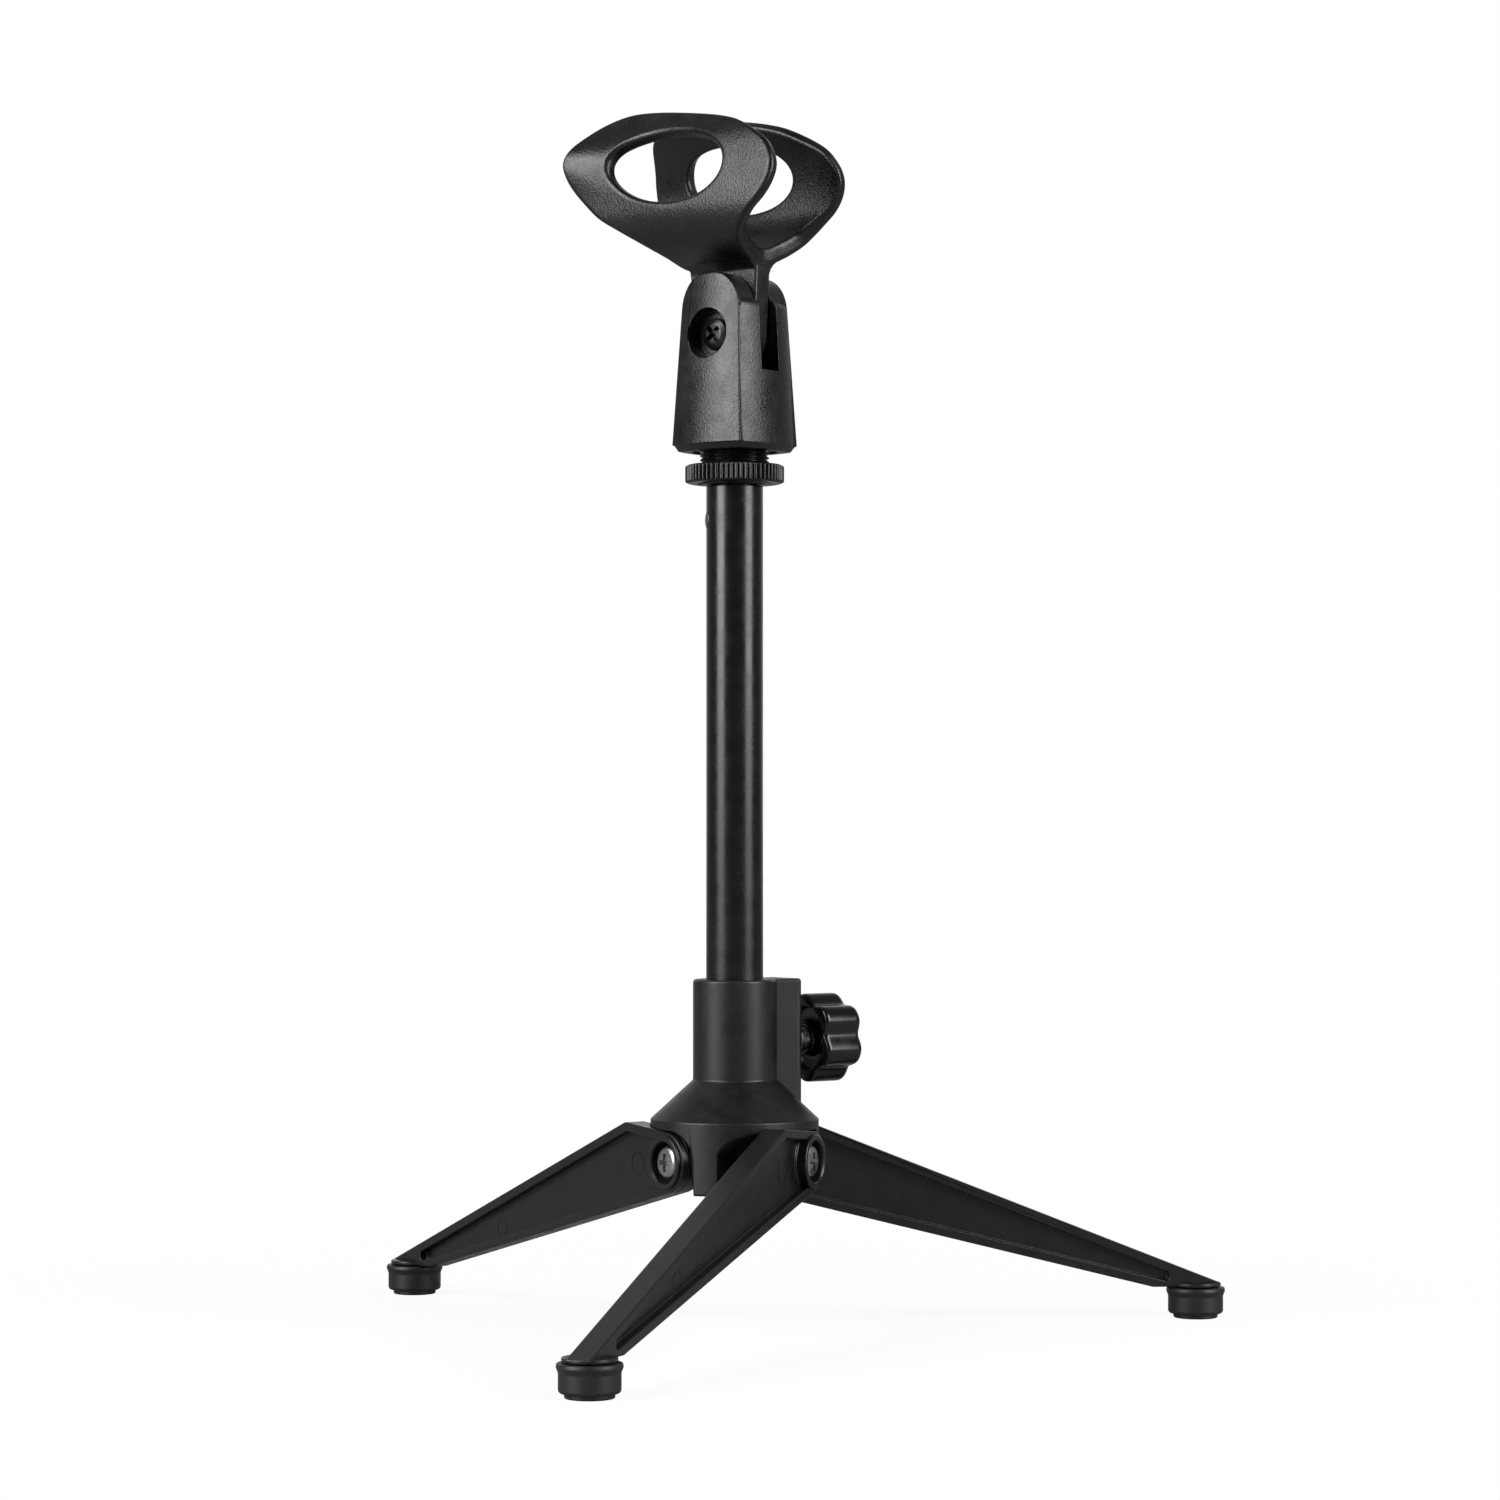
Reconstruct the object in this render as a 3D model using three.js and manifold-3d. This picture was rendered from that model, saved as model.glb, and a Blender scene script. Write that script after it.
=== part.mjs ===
// Folding desktop microphone stand: three legs that fold under a moulded hub, a steel tube
// clamped by a star knob, a 5/8 inch thread with a lock nut, and a tilting spring clip.
// Millimetres, +Z up. The tube's axis is the Z axis and the desk is the plane Z = 0.
// The microphone lies along X when the clip is level.

import * as THREE from 'three';
import { mergeVertices } from 'three/addons/utils/BufferGeometryUtils.js';
import Module from 'manifold-3d';

const wasm = await Module();
wasm.setup();

// ---- Driving dimensions ----

const FIT = 0.3;                      // gap between neighbouring pieces
const HALF_TURN = Math.PI;
const ROUND = 28;                     // sides of a round piece

// Mast
const TUBE_R = 6.5;
const TUBE_WALL = 1.0;
const TUBE_BOTTOM = 38.0;
const TUBE_TOP = 193.0;
const THREAD_R = 7.94;                // 5/8 inch thread, outside
const THREAD_PITCH = 0.94;            // 27 turns to the inch
const STUD_TOP = 210.0;
const STUD_BOTTOM = 176.0;
const PIN_R = 1.8;
const PIN_Z = 185.2;
const PIN_AZIMUTH = 233;
const LOCK_NUT_R = 11.3;
const LOCK_NUT_Z = [193.6, 197.8];
const LOCK_NUT_RIBS = 60;
const LOCK_NUT_RIB_DEPTH = 0.5;

// Hub
const COLLAR_R = 9.5;
const COLLAR_TOP = 80.6;
const CONE_TOP = 57.7;
const RIM_R = 19.2;
const RIM_TOP = 48.8;
const RIM_BOTTOM = 46.7;
const DRUM_BOTTOM = 32.5;
const BORE_R = 6.65;
const LUG_HALF_WIDTH = 6.0;
const LUG_END = 15.4;
const LUG_BOTTOM = 50.0;
const LUG_AZIMUTH = 76.5;
const POCKET_SIDE = 7.8;              // pocket wall beside the leg's boss
const POCKET_CORNER = 6.5;            // radius of the arch beside the boss
const POCKET_WALL = 4.1;              // pocket wall on the side that the leg leaves by
const POCKET_ARCH = { width: 10, height: 5.6 };
const INSERT_SEAT_R = 3.35;

// Clamp knob
const CLAMP_Z = 66.6;
const CLAMP_STUD_R = 2.5;
const CLAMP_NUT_R = 4.75;
const KNOB_BACK = 19.5;
const KNOB_FRONT = 30.0;
const KNOB_R = 10.2;
const KNOB_VALLEY = 1.7;
const KNOB_LOBES = 6;
const KNOB_PHASE = -6;                // degrees that the star is turned on its stud
const KNOB_BOSS_R = 4.0;
const KNOB_HOLLOW_R = 7.4;
const KNOB_HOLLOW_DEPTH = 2.6;

// Legs, measured in a frame at the pivot: x along the leg, y outward from the mast, z up
const LEG_AZIMUTHS = [46.5, 166.5, 286.5];
const PIVOT_Z = 39.6;
const LEG_INNER = 14.0;
const LEG_OUTER = 19.5;
const LEG_RECESS = 2.0;
const LEG_BORDER = 2.1;
const BOSS_R = 6.1;
const BOSS_FACE = 20.2;
const BOSS_BACK = 11.9;
const ROOT_R = 6.9;
const SCREW_R = 2.0;
const HEAD_R = 3.8;
const COUNTERBORE_R = 4.7;
const COUNTERBORE_FLOOR = 17.3;
const SEAT_FACE = 11.6;
const HEEL = [16.0, 8.3];             // highest corner of the leg
const LEG_TIP = [116.5, -31.4];

// Feet
const FOOT_X = 110.9;
const FOOT_Y = (LEG_INNER + LEG_OUTER) / 2;
const CAP_R = 6.9;                    // at the lip round the top
const CAP_WAIST_R = 6.45;
const CAP_TOP = 7.2;
const CAP_BOTTOM = 1.0;
const PAD_R = 5.2;
const PEG_R = 3.9;
const SOLE_Z = 7.5;
const SOLE_START = [100.2, SOLE_Z - PIVOT_Z];

// Clip base
const TILT_Z = 227.1;
const BASE_BOTTOM = 200.7;
const BASE_RIM_Z = 202.1;
const BASE_CHAMFER = 1.2;
const SHOULDER_Z = 235.0;
const EAR_TOP = 241.2;
const EAR_HALF_WIDTH = 8.45;          // at the foot of the round top
const EAR_TAPER = 0.054;              // how much each edge draws in for each millimetre of height
const SIDE_Y = 11.85;                 // outer face of an ear at the rim
const SIDE_TAPER = 0.0625;
const SIDE_CURVE_R = 30;              // the outer face bulges gently
const CORE_X = 11.9;                  // front and rear faces of the core at the rim
const CORE_TAPER = 0.06;
const CORE_CURVE_Y = 17;              // the core's faces are part of an ellipse this wide
const CORE_INSET = 0.3;               // how far the core lies behind the ears
const HEAD_SEAT_R = 5.7;
const HEAD_SEAT_Y = 5.6;
const SLOT_HALF = 2.95;
const SLOT_FLOOR = 218.8;
const INSERT_R = 9.6;
const INSERT_TOP = 212.3;
const TILT_SCREW_TURN = 40;

// Clip head, measured from the tilt axis: x along the microphone, z up
const TONGUE_HALF = 2.65;
const TONGUE_R = 7.8;
const HEAD_CLEARANCE_R = 14.7;
const STEM_FRONT = [8.6, 15.8];
const STEM_REAR = [-11.2, 13.3];
const WALL = 3.0;
const KEEL_EXTRA = 0.35;              // share by which the wall is thicker at the keel
const WINDOW = { x: -8.8, z: 38.4, halfLength: 16.3, halfHeight: 8.4, slope: -0.11 };
const FLARE_START = -9;
const FRONT_TAPER = 0.005;            // how fast the wings draw in toward the front
const END_FLARE = 0.00044;            // how fast they curl outward toward the entry end, -X

// ---- Solid helpers ----

// Merge the shared corners, leave out empty triangles and turn the faces outward.
function closed(geometry) {
  const bare = geometry.clone();
  for (const name of Object.keys(bare.attributes)) {
    if (name !== 'position') {
      bare.deleteAttribute(name);
    }
  }
  const merged = mergeVertices(bare, 1e-4);
  const point = (i) => new THREE.Vector3().fromBufferAttribute(merged.attributes.position, i);
  const kept = [];
  let volume = 0;
  for (let i = 0; i < merged.index.count; i += 3) {
    const [a, b, c] = [0, 1, 2].map((k) => merged.index.getX(i + k));
    if (a !== b && b !== c && c !== a) {
      kept.push(a, b, c);
      volume += point(a).dot(point(b).cross(point(c)));
    }
  }
  merged.setIndex(volume < 0 ? kept.reverse() : kept);
  return merged;
}

function toSolid(geometry) {
  const shape = closed(geometry);
  return new wasm.Manifold(new wasm.Mesh({
    numProp: 3,
    vertProperties: new Float32Array(shape.attributes.position.array),
    triVerts: new Uint32Array(shape.index.array),
  }));
}

function toGeometry(solid) {
  const mesh = solid.getMesh();
  const geometry = new THREE.BufferGeometry();
  geometry.setAttribute('position', new THREE.BufferAttribute(mesh.vertProperties, 3));
  geometry.setIndex(new THREE.BufferAttribute(mesh.triVerts, 1));
  return geometry;
}

function join(...geometries) {
  return toGeometry(geometries.map(toSolid).reduce((sum, solid) => sum.add(solid)));
}

function cut(geometry, ...tools) {
  const body = toSolid(geometry);
  return toGeometry(tools.map(toSolid).reduce((rest, tool) => rest.subtract(tool), body));
}

function common(...geometries) {
  return toGeometry(geometries.map(toSolid).reduce((rest, solid) => rest.intersect(solid)));
}

// ---- Shape helpers ----

// A body of revolution about Z from [radius, z] points that start and end on the axis.
function turned(profile, sides = ROUND) {
  const points = profile.map(([r, z]) => new THREE.Vector2(r, z));
  return new THREE.LatheGeometry(points, sides).rotateX(HALF_TURN / 2);
}

function cylinder(r, z0, z1, sides = ROUND) {
  return turned([[0, z0], [r, z0], [r, z1], [0, z1]], sides);
}

function ring(rInner, rOuter, z0, z1, sides = ROUND) {
  return turned([[rInner, z0], [rOuter, z0], [rOuter, z1], [rInner, z1], [rInner, z0]], sides);
}

function box([x0, x1], [y0, y1], [z0, z1]) {
  const geometry = new THREE.BoxGeometry(x1 - x0, y1 - y0, z1 - z0);
  return geometry.translate((x0 + x1) / 2, (y0 + y1) / 2, (z0 + z1) / 2);
}

// An outline in X and Z, pushed along Y from y0 to y1.
function slab(shape, y0, y1, options = {}) {
  const settings = { depth: y1 - y0, bevelEnabled: false, curveSegments: 10, ...options };
  return new THREE.ExtrudeGeometry(shape, settings).rotateX(HALF_TURN / 2).translate(0, y1, 0);
}

// Turn a body of revolution about Z so that its axis lies along Y, with z becoming y.
function alongY(geometry) {
  return geometry.rotateX(-HALF_TURN / 2);
}

// Turn a body of revolution about Z so that its axis lies along X, with z becoming x.
function alongX(geometry) {
  return geometry.rotateY(HALF_TURN / 2);
}

function outline(points) {
  return new THREE.Shape(points.map(([x, y]) => new THREE.Vector2(x, y)));
}

function circleShape(r) {
  return new THREE.Shape().absarc(0, 0, r, 0, 2 * HALF_TURN);
}

function hexagon(acrossFlats) {
  const r = acrossFlats / Math.sqrt(3);
  const angles = [0, 1, 2, 3, 4, 5].map((k) => k * HALF_TURN / 3);
  return outline(angles.map((angle) => [r * Math.cos(angle), r * Math.sin(angle)]));
}

// A closed wavy outline, such as a star knob or a row of ribs round a nut.
function wavy(rMean, amplitude, waves, steps) {
  const points = [];
  for (let i = 0; i < steps; i += 1) {
    const angle = (i / steps) * 2 * HALF_TURN;
    const r = rMean + amplitude * Math.cos(waves * angle);
    points.push([r * Math.cos(angle), r * Math.sin(angle)]);
  }
  return outline(points);
}

// A closed body through outlines of equal length, each a list of [x, y] at its own height.
function loft(levels) {
  const count = levels[0].points.length;
  const corners = levels.flatMap(({ z, points }) => points.map(([x, y]) => [x, y, z]));
  corners.push([0, 0, levels[0].z], [0, 0, levels.at(-1).z]);
  const faces = [];
  for (let k = 0; k < count; k += 1) {
    const next = (k + 1) % count;
    faces.push(next, k, corners.length - 2);
    for (let level = 1; level < levels.length; level += 1) {
      const low = (level - 1) * count;
      const high = level * count;
      faces.push(low + k, low + next, high + next, low + k, high + next, high + k);
    }
    const top = (levels.length - 1) * count;
    faces.push(top + k, top + next, corners.length - 1);
  }
  const geometry = new THREE.BufferGeometry();
  geometry.setAttribute('position', new THREE.Float32BufferAttribute(corners.flat(), 3));
  return geometry.setIndex(faces);
}

const radians = (degrees) => degrees * HALF_TURN / 180;
const { smoothstep } = THREE.MathUtils;

// ---- Materials ----

function finish(colour, roughness, metalness = 0) {
  return new THREE.MeshStandardMaterial({ color: colour, roughness, metalness });
}

const finishes = {
  hub: () => finish(0x161617, 0.55),
  leg: () => finish(0x18181a, 0.42),
  clip: () => finish(0x17171a, 0.6),
  knob: () => finish(0x101011, 0.22),
  tube: () => finish(0x141416, 0.35, 0.2),
  rubber: () => finish(0x1a1a1a, 0.85),
  blackSteel: () => finish(0x1c1c1e, 0.4, 0.8),
  steel: () => finish(0xa8a8a8, 0.3, 1),
  brass: () => finish(0xb8924a, 0.35, 1),
};

const stand = new THREE.Group();

function piece(parent, name, geometry, material) {
  const mesh = new THREE.Mesh(closed(geometry), material());
  mesh.name = name;
  parent.add(mesh);
  return mesh;
}

// ---- Hub ----

function hubPocket(legAzimuth) {
  const top = RIM_BOTTOM;
  const low = DRUM_BOTTOM - 5;
  const far = RIM_R + 6;
  const beside = new THREE.Shape();
  beside.moveTo(-POCKET_SIDE, low);
  beside.lineTo(far, low);
  beside.lineTo(far, top);
  const cornerX = -POCKET_SIDE + POCKET_CORNER;
  beside.lineTo(cornerX, top);
  beside.absarc(cornerX, top - POCKET_CORNER, POCKET_CORNER, HALF_TURN / 2, HALF_TURN);
  const across = new THREE.Shape();
  across.moveTo(POCKET_WALL, low);
  across.lineTo(far, low);
  across.lineTo(far, top);
  const { width, height } = POCKET_ARCH;
  across.lineTo(POCKET_WALL + width, top);
  across.absellipse(POCKET_WALL + width, top - height, width, height, HALF_TURN / 2, HALF_TURN);
  const alongLeg = slab(across, -far, far).rotateZ(HALF_TURN / 2);
  const pocket = common(slab(beside, POCKET_WALL - 1, far), alongLeg);
  const core = cylinder(COLLAR_R, low - 1, top + 1);
  const seat = alongY(cylinder(BOSS_R - 0.3, 0, SEAT_FACE)).translate(0, 0, PIVOT_Z);
  return cut(pocket, core, seat).rotateZ(radians(legAzimuth));
}

function hub() {
  const body = turned([
    [0, DRUM_BOTTOM], [RIM_R - 0.8, DRUM_BOTTOM], [RIM_R - 0.2, DRUM_BOTTOM + 0.6],
    [RIM_R - 0.2, RIM_BOTTOM], [RIM_R, RIM_BOTTOM], [RIM_R, RIM_TOP - 0.3], [RIM_R - 0.3, RIM_TOP],
    [COLLAR_R, CONE_TOP], [COLLAR_R, COLLAR_TOP - 0.8], [COLLAR_R - 0.8, COLLAR_TOP], [0, COLLAR_TOP],
  ], 48);
  const lug = box([0, LUG_END], [-LUG_HALF_WIDTH, LUG_HALF_WIDTH], [LUG_BOTTOM, COLLAR_TOP - 0.2]);
  const nutSeat = alongX(cylinder(CLAMP_NUT_R + 0.15, 8.6, LUG_END + 1, 24)).translate(0, 0, CLAMP_Z);
  const studHole = alongX(cylinder(CLAMP_STUD_R + 0.15, 4, 12, 24)).translate(0, 0, CLAMP_Z);
  const turn = radians(LUG_AZIMUTH);
  const insertSeat = alongY(cylinder(INSERT_SEAT_R, 7.2, SEAT_FACE + 1, 20)).translate(0, 0, PIVOT_Z);
  const holes = LEG_AZIMUTHS.map((azimuth) => insertSeat.clone().rotateZ(radians(azimuth)));
  return cut(
    join(body, lug.rotateZ(turn)),
    ...LEG_AZIMUTHS.map(hubPocket),
    ...holes,
    cylinder(BORE_R, DRUM_BOTTOM - 1, COLLAR_TOP + 1),
    nutSeat.rotateZ(turn),
    studHole.rotateZ(turn),
  );
}

piece(stand, 'hub', hub(), finishes.hub);

// ---- Clamp knob, its stud and the nut in the lug ----

function clampKnob() {
  const mean = KNOB_R - KNOB_VALLEY / 2;
  const star = wavy(mean, KNOB_VALLEY / 2, KNOB_LOBES, KNOB_LOBES * 6);
  const edge = 0.6;
  const body = new THREE.ExtrudeGeometry(star, {
    depth: KNOB_FRONT - KNOB_BACK - 2 * edge,
    bevelEnabled: true,
    bevelThickness: edge,
    bevelSize: edge,
    bevelOffset: -edge,
    bevelSegments: 2,
  }).translate(0, 0, KNOB_BACK + edge).rotateZ(radians(KNOB_PHASE));
  const hollow = ring(KNOB_BOSS_R, KNOB_HOLLOW_R, KNOB_BACK - 1, KNOB_BACK + KNOB_HOLLOW_DEPTH);
  const socket = cylinder(CLAMP_STUD_R + 0.1, KNOB_BACK - 1, KNOB_FRONT - 2.5, 24);
  return alongX(cut(body, hollow, socket));
}

const clamp = new THREE.Group();
clamp.position.z = CLAMP_Z;
clamp.rotation.z = radians(LUG_AZIMUTH);
stand.add(clamp);
const clampNut = ring(CLAMP_STUD_R + 0.15, CLAMP_NUT_R, 8.9, LUG_END - 0.2, 24);
const clampStud = cylinder(CLAMP_STUD_R, TUBE_R + 0.2, KNOB_FRONT - 2.7, 24);
piece(clamp, 'clamp_nut', alongX(clampNut), finishes.brass);
piece(clamp, 'clamp_stud', alongX(clampStud), finishes.steel);
piece(clamp, 'clamp_knob', clampKnob(), finishes.knob);

// ---- Legs ----

// The point where the line from a far point touches a circle about the pivot.
function tangentPoint([x, z], r, side) {
  const distance = Math.hypot(x, z);
  const angle = Math.atan2(z, x) + side * Math.acos(r / distance);
  return [r * Math.cos(angle), r * Math.sin(angle), angle];
}

function legOutline() {
  const under = tangentPoint(SOLE_START, ROOT_R, -1);
  const over = tangentPoint(HEEL, ROOT_R, 1);
  const shape = new THREE.Shape();
  shape.moveTo(under[0], under[1]);
  shape.lineTo(SOLE_START[0], SOLE_START[1]);
  shape.lineTo(LEG_TIP[0] - 0.3, SOLE_START[1]);
  shape.lineTo(LEG_TIP[0], LEG_TIP[1]);
  shape.lineTo(HEEL[0], HEEL[1]);
  shape.lineTo(over[0], over[1]);
  shape.absarc(0, 0, ROOT_R, over[2], under[2] + 2 * HALF_TURN);
  return shape;
}

// The flat hollow in each face of the leg, inside a raised border.
function recessOutline() {
  const slopeTop = (LEG_TIP[1] - HEEL[1]) / (LEG_TIP[0] - HEEL[0]);
  const under = tangentPoint(SOLE_START, ROOT_R, -1);
  const slopeUnder = (SOLE_START[1] - under[1]) / (SOLE_START[0] - under[0]);
  const topAt = (x) => HEEL[1] + slopeTop * (x - HEEL[0]) - LEG_BORDER * Math.hypot(1, slopeTop);
  const underAt = (x) => under[1] + slopeUnder * (x - under[0]) + LEG_BORDER * Math.hypot(1, slopeUnder);
  const end = 104;
  const shape = new THREE.Shape();
  shape.moveTo(1, underAt(1));
  shape.lineTo(end, underAt(end));
  shape.quadraticCurveTo(end + 1.2, (underAt(end) + topAt(end)) / 2, end, topAt(end));
  shape.lineTo(HEEL[0] - 0.6, topAt(HEEL[0] - 0.6));
  shape.lineTo(1, ROOT_R - LEG_BORDER);
  return shape;
}

function leg() {
  const plate = slab(legOutline(), LEG_INNER, LEG_OUTER, { curveSegments: 14 });
  const outerHollow = slab(recessOutline(), LEG_OUTER - LEG_RECESS, LEG_OUTER + 1);
  const innerHollow = slab(recessOutline(), LEG_INNER - 1, LEG_INNER + LEG_RECESS);
  const boss = alongY(turned([
    [0, BOSS_BACK], [BOSS_R, BOSS_BACK], [BOSS_R, BOSS_FACE - 0.4], [BOSS_R - 0.4, BOSS_FACE],
    [0, BOSS_FACE],
  ]));
  const sole = SOLE_Z - PIVOT_Z;
  const peg = turned([
    [0, 3.4 - PIVOT_Z], [PEG_R, 3.4 - PIVOT_Z], [PEG_R, sole - 0.1], [5.8, sole - 0.1],
    [5.8, sole + 0.8], [0, sole + 0.8],
  ], 24).translate(FOOT_X, FOOT_Y, 0);
  const headSeat = alongY(cylinder(COUNTERBORE_R, COUNTERBORE_FLOOR, BOSS_FACE + 1));
  const hole = alongY(cylinder(SCREW_R + 0.15, BOSS_BACK - 1, BOSS_FACE, 24));
  const stopNotch = cylinder(RIM_R + 0.2, RIM_BOTTOM - FIT - PIVOT_Z, 20, 48);
  return cut(join(cut(plate, outerHollow, innerHollow), boss, peg), headSeat, hole, stopNotch);
}

function footCap() {
  const padSeat = CAP_BOTTOM + 1.4;
  const pegSeat = CAP_BOTTOM + 2.2;
  return turned([
    [0, padSeat], [PAD_R + 0.2, padSeat], [PAD_R + 0.2, CAP_BOTTOM], [CAP_WAIST_R - 0.9, CAP_BOTTOM],
    [CAP_WAIST_R - 0.2, CAP_BOTTOM + 0.35], [CAP_WAIST_R, CAP_BOTTOM + 1.1], [CAP_WAIST_R, CAP_TOP - 2],
    [CAP_R, CAP_TOP - 0.7], [CAP_R - 0.2, CAP_TOP - 0.2], [CAP_R - 0.6, CAP_TOP],
    [PEG_R + 0.2, CAP_TOP], [PEG_R + 0.2, pegSeat], [0, pegSeat],
  ], 24);
}

function footPad() {
  return turned([[0, 0], [PAD_R - 0.3, 0], [PAD_R, 0.3], [PAD_R, CAP_BOTTOM + 1.1], [0, CAP_BOTTOM + 1.1]]);
}

// A cross-point drive for a screw whose head faces +Z at height z.
function crossDrive(z, depth, length, width) {
  const arm = box([-length / 2, length / 2], [-width / 2, width / 2], [z - depth, z + 1]);
  return join(arm, arm.clone().rotateZ(HALF_TURN / 2));
}

function legScrew() {
  const top = BOSS_FACE - 0.5;
  const under = COUNTERBORE_FLOOR + 0.7;
  const screw = turned([
    [0, 7.6], [SCREW_R - 0.4, 7.6], [SCREW_R, 8.0], [SCREW_R, under], [HEAD_R, under],
    [HEAD_R, top - 0.6], [HEAD_R - 0.9, top], [0, top],
  ], 20);
  return alongY(cut(screw, crossDrive(top, 1.2, 4.4, 0.8)));
}

LEG_AZIMUTHS.forEach((azimuth, index) => {
  const number = index + 1;
  const place = new THREE.Group();
  place.position.z = PIVOT_Z;
  place.rotation.z = radians(azimuth);
  stand.add(place);
  piece(place, `leg_${number}`, leg(), finishes.leg);
  piece(place, `leg_screw_${number}`, legScrew(), finishes.steel);
  const washer = ring(SCREW_R + 0.15, 3.7, COUNTERBORE_FLOOR + 0.1, COUNTERBORE_FLOOR + 0.6, 24);
  piece(place, `leg_washer_${number}`, alongY(washer), finishes.steel);
  const insert = ring(SCREW_R + 0.15, INSERT_SEAT_R - 0.15, 7.4, SEAT_FACE - 0.2, 20);
  piece(place, `leg_insert_${number}`, alongY(insert), finishes.brass);
  const foot = new THREE.Group();
  foot.position.set(FOOT_X, FOOT_Y, -PIVOT_Z);
  place.add(foot);
  piece(foot, `foot_cap_${number}`, footCap(), finishes.rubber);
  piece(foot, `foot_pad_${number}`, footPad(), finishes.rubber);
});

// ---- Mast ----

function pinHole(from, to) {
  const hole = alongX(cylinder(PIN_R + 0.1, from, to, 16));
  return hole.translate(0, 0, PIN_Z).rotateZ(radians(PIN_AZIMUTH));
}

// A shank inside the tube and a threaded end, ridged where it shows below the clip.
function threadStud() {
  const shank = TUBE_R - TUBE_WALL - 0.1;
  const root = THREAD_R - 0.55;
  const shoulder = TUBE_TOP + 0.2;
  const firstRidge = LOCK_NUT_Z[1] + 0.2;
  const profile = [[0, STUD_BOTTOM], [shank, STUD_BOTTOM], [shank, shoulder], [root, shoulder]];
  profile.push([root, firstRidge - THREAD_PITCH / 2]);
  for (let z = firstRidge; z < BASE_RIM_Z; z += THREAD_PITCH) {
    profile.push([THREAD_R, z], [root, z + THREAD_PITCH / 2]);
  }
  profile.push([root, STUD_TOP - 0.6], [root - 0.55, STUD_TOP], [0, STUD_TOP]);
  return cut(turned(profile), pinHole(1.8, 8));
}

function lockNut() {
  const amplitude = LOCK_NUT_RIB_DEPTH / 2;
  const ribs = wavy(LOCK_NUT_R - amplitude, amplitude, LOCK_NUT_RIBS, LOCK_NUT_RIBS * 2);
  ribs.holes.push(circleShape(THREAD_R + 0.15));
  const [z0, z1] = LOCK_NUT_Z;
  const settings = { depth: z1 - z0, bevelEnabled: false, curveSegments: 18 };
  return new THREE.ExtrudeGeometry(ribs, settings).translate(0, 0, z0);
}

function tubePlug() {
  const inside = TUBE_R - TUBE_WALL - 0.1;
  return turned([
    [0, TUBE_BOTTOM - 1.5], [TUBE_R - 0.5, TUBE_BOTTOM - 1.5], [TUBE_R - 0.1, TUBE_BOTTOM - 1.1],
    [TUBE_R - 0.1, TUBE_BOTTOM - 0.1], [inside, TUBE_BOTTOM - 0.1], [inside, TUBE_BOTTOM + 8],
    [0, TUBE_BOTTOM + 8],
  ]);
}

function studPin() {
  const pin = alongX(cylinder(PIN_R, 2.0, TUBE_R + 0.1, 16));
  return pin.translate(0, 0, PIN_Z).rotateZ(radians(PIN_AZIMUTH));
}

const tubeWall = ring(TUBE_R - TUBE_WALL, TUBE_R, TUBE_BOTTOM, TUBE_TOP);
piece(stand, 'tube', cut(tubeWall, pinHole(4, 8)), finishes.tube);
piece(stand, 'tube_plug', tubePlug(), finishes.hub);
piece(stand, 'thread_stud', threadStud(), finishes.blackSteel);
piece(stand, 'stud_pin', studPin(), finishes.steel);
piece(stand, 'lock_nut', lockNut(), finishes.blackSteel);

// ---- Clip base ----

// Distance from the axis to an ear's bulging outer face, in a direction round the axis.
function sideReach(angle, z, inset) {
  const face = SIDE_Y - SIDE_TAPER * (z - BASE_RIM_Z) - inset;
  const across = Math.abs(Math.sin(angle));
  const bulge = Math.cos(angle) ** 2 / (2 * SIDE_CURVE_R);
  return 2 * face / (across + Math.sqrt(across ** 2 + 4 * face * bulge));
}

function coreReach(angle, z, inset) {
  const a = CORE_X - CORE_TAPER * (z - BASE_RIM_Z) - inset;
  const ellipse = 1 / Math.hypot(Math.cos(angle) / a, Math.sin(angle) / CORE_CURVE_Y);
  return Math.min(ellipse, sideReach(angle, z, inset + CORE_INSET));
}

function section(reach, z, inset = 0) {
  const count = 56;
  const points = [];
  for (let k = 0; k < count; k += 1) {
    const angle = (k + 0.5) / count * 2 * HALF_TURN;
    const r = reach(angle, z, inset);
    points.push([r * Math.cos(angle), r * Math.sin(angle)]);
  }
  return { z, points };
}

// The ears: an arch seen along Y, as tall as the base and a little narrower toward the top.
function earArch() {
  const shape = new THREE.Shape();
  const spring = EAR_TOP - EAR_HALF_WIDTH;
  const foot = EAR_HALF_WIDTH + EAR_TAPER * (spring - BASE_RIM_Z);
  shape.moveTo(-foot, BASE_RIM_Z);
  shape.lineTo(foot, BASE_RIM_Z);
  shape.absarc(0, spring, EAR_HALF_WIDTH, 0, HALF_TURN);
  return slab(shape, -20, 20, { curveSegments: 20 });
}

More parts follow.
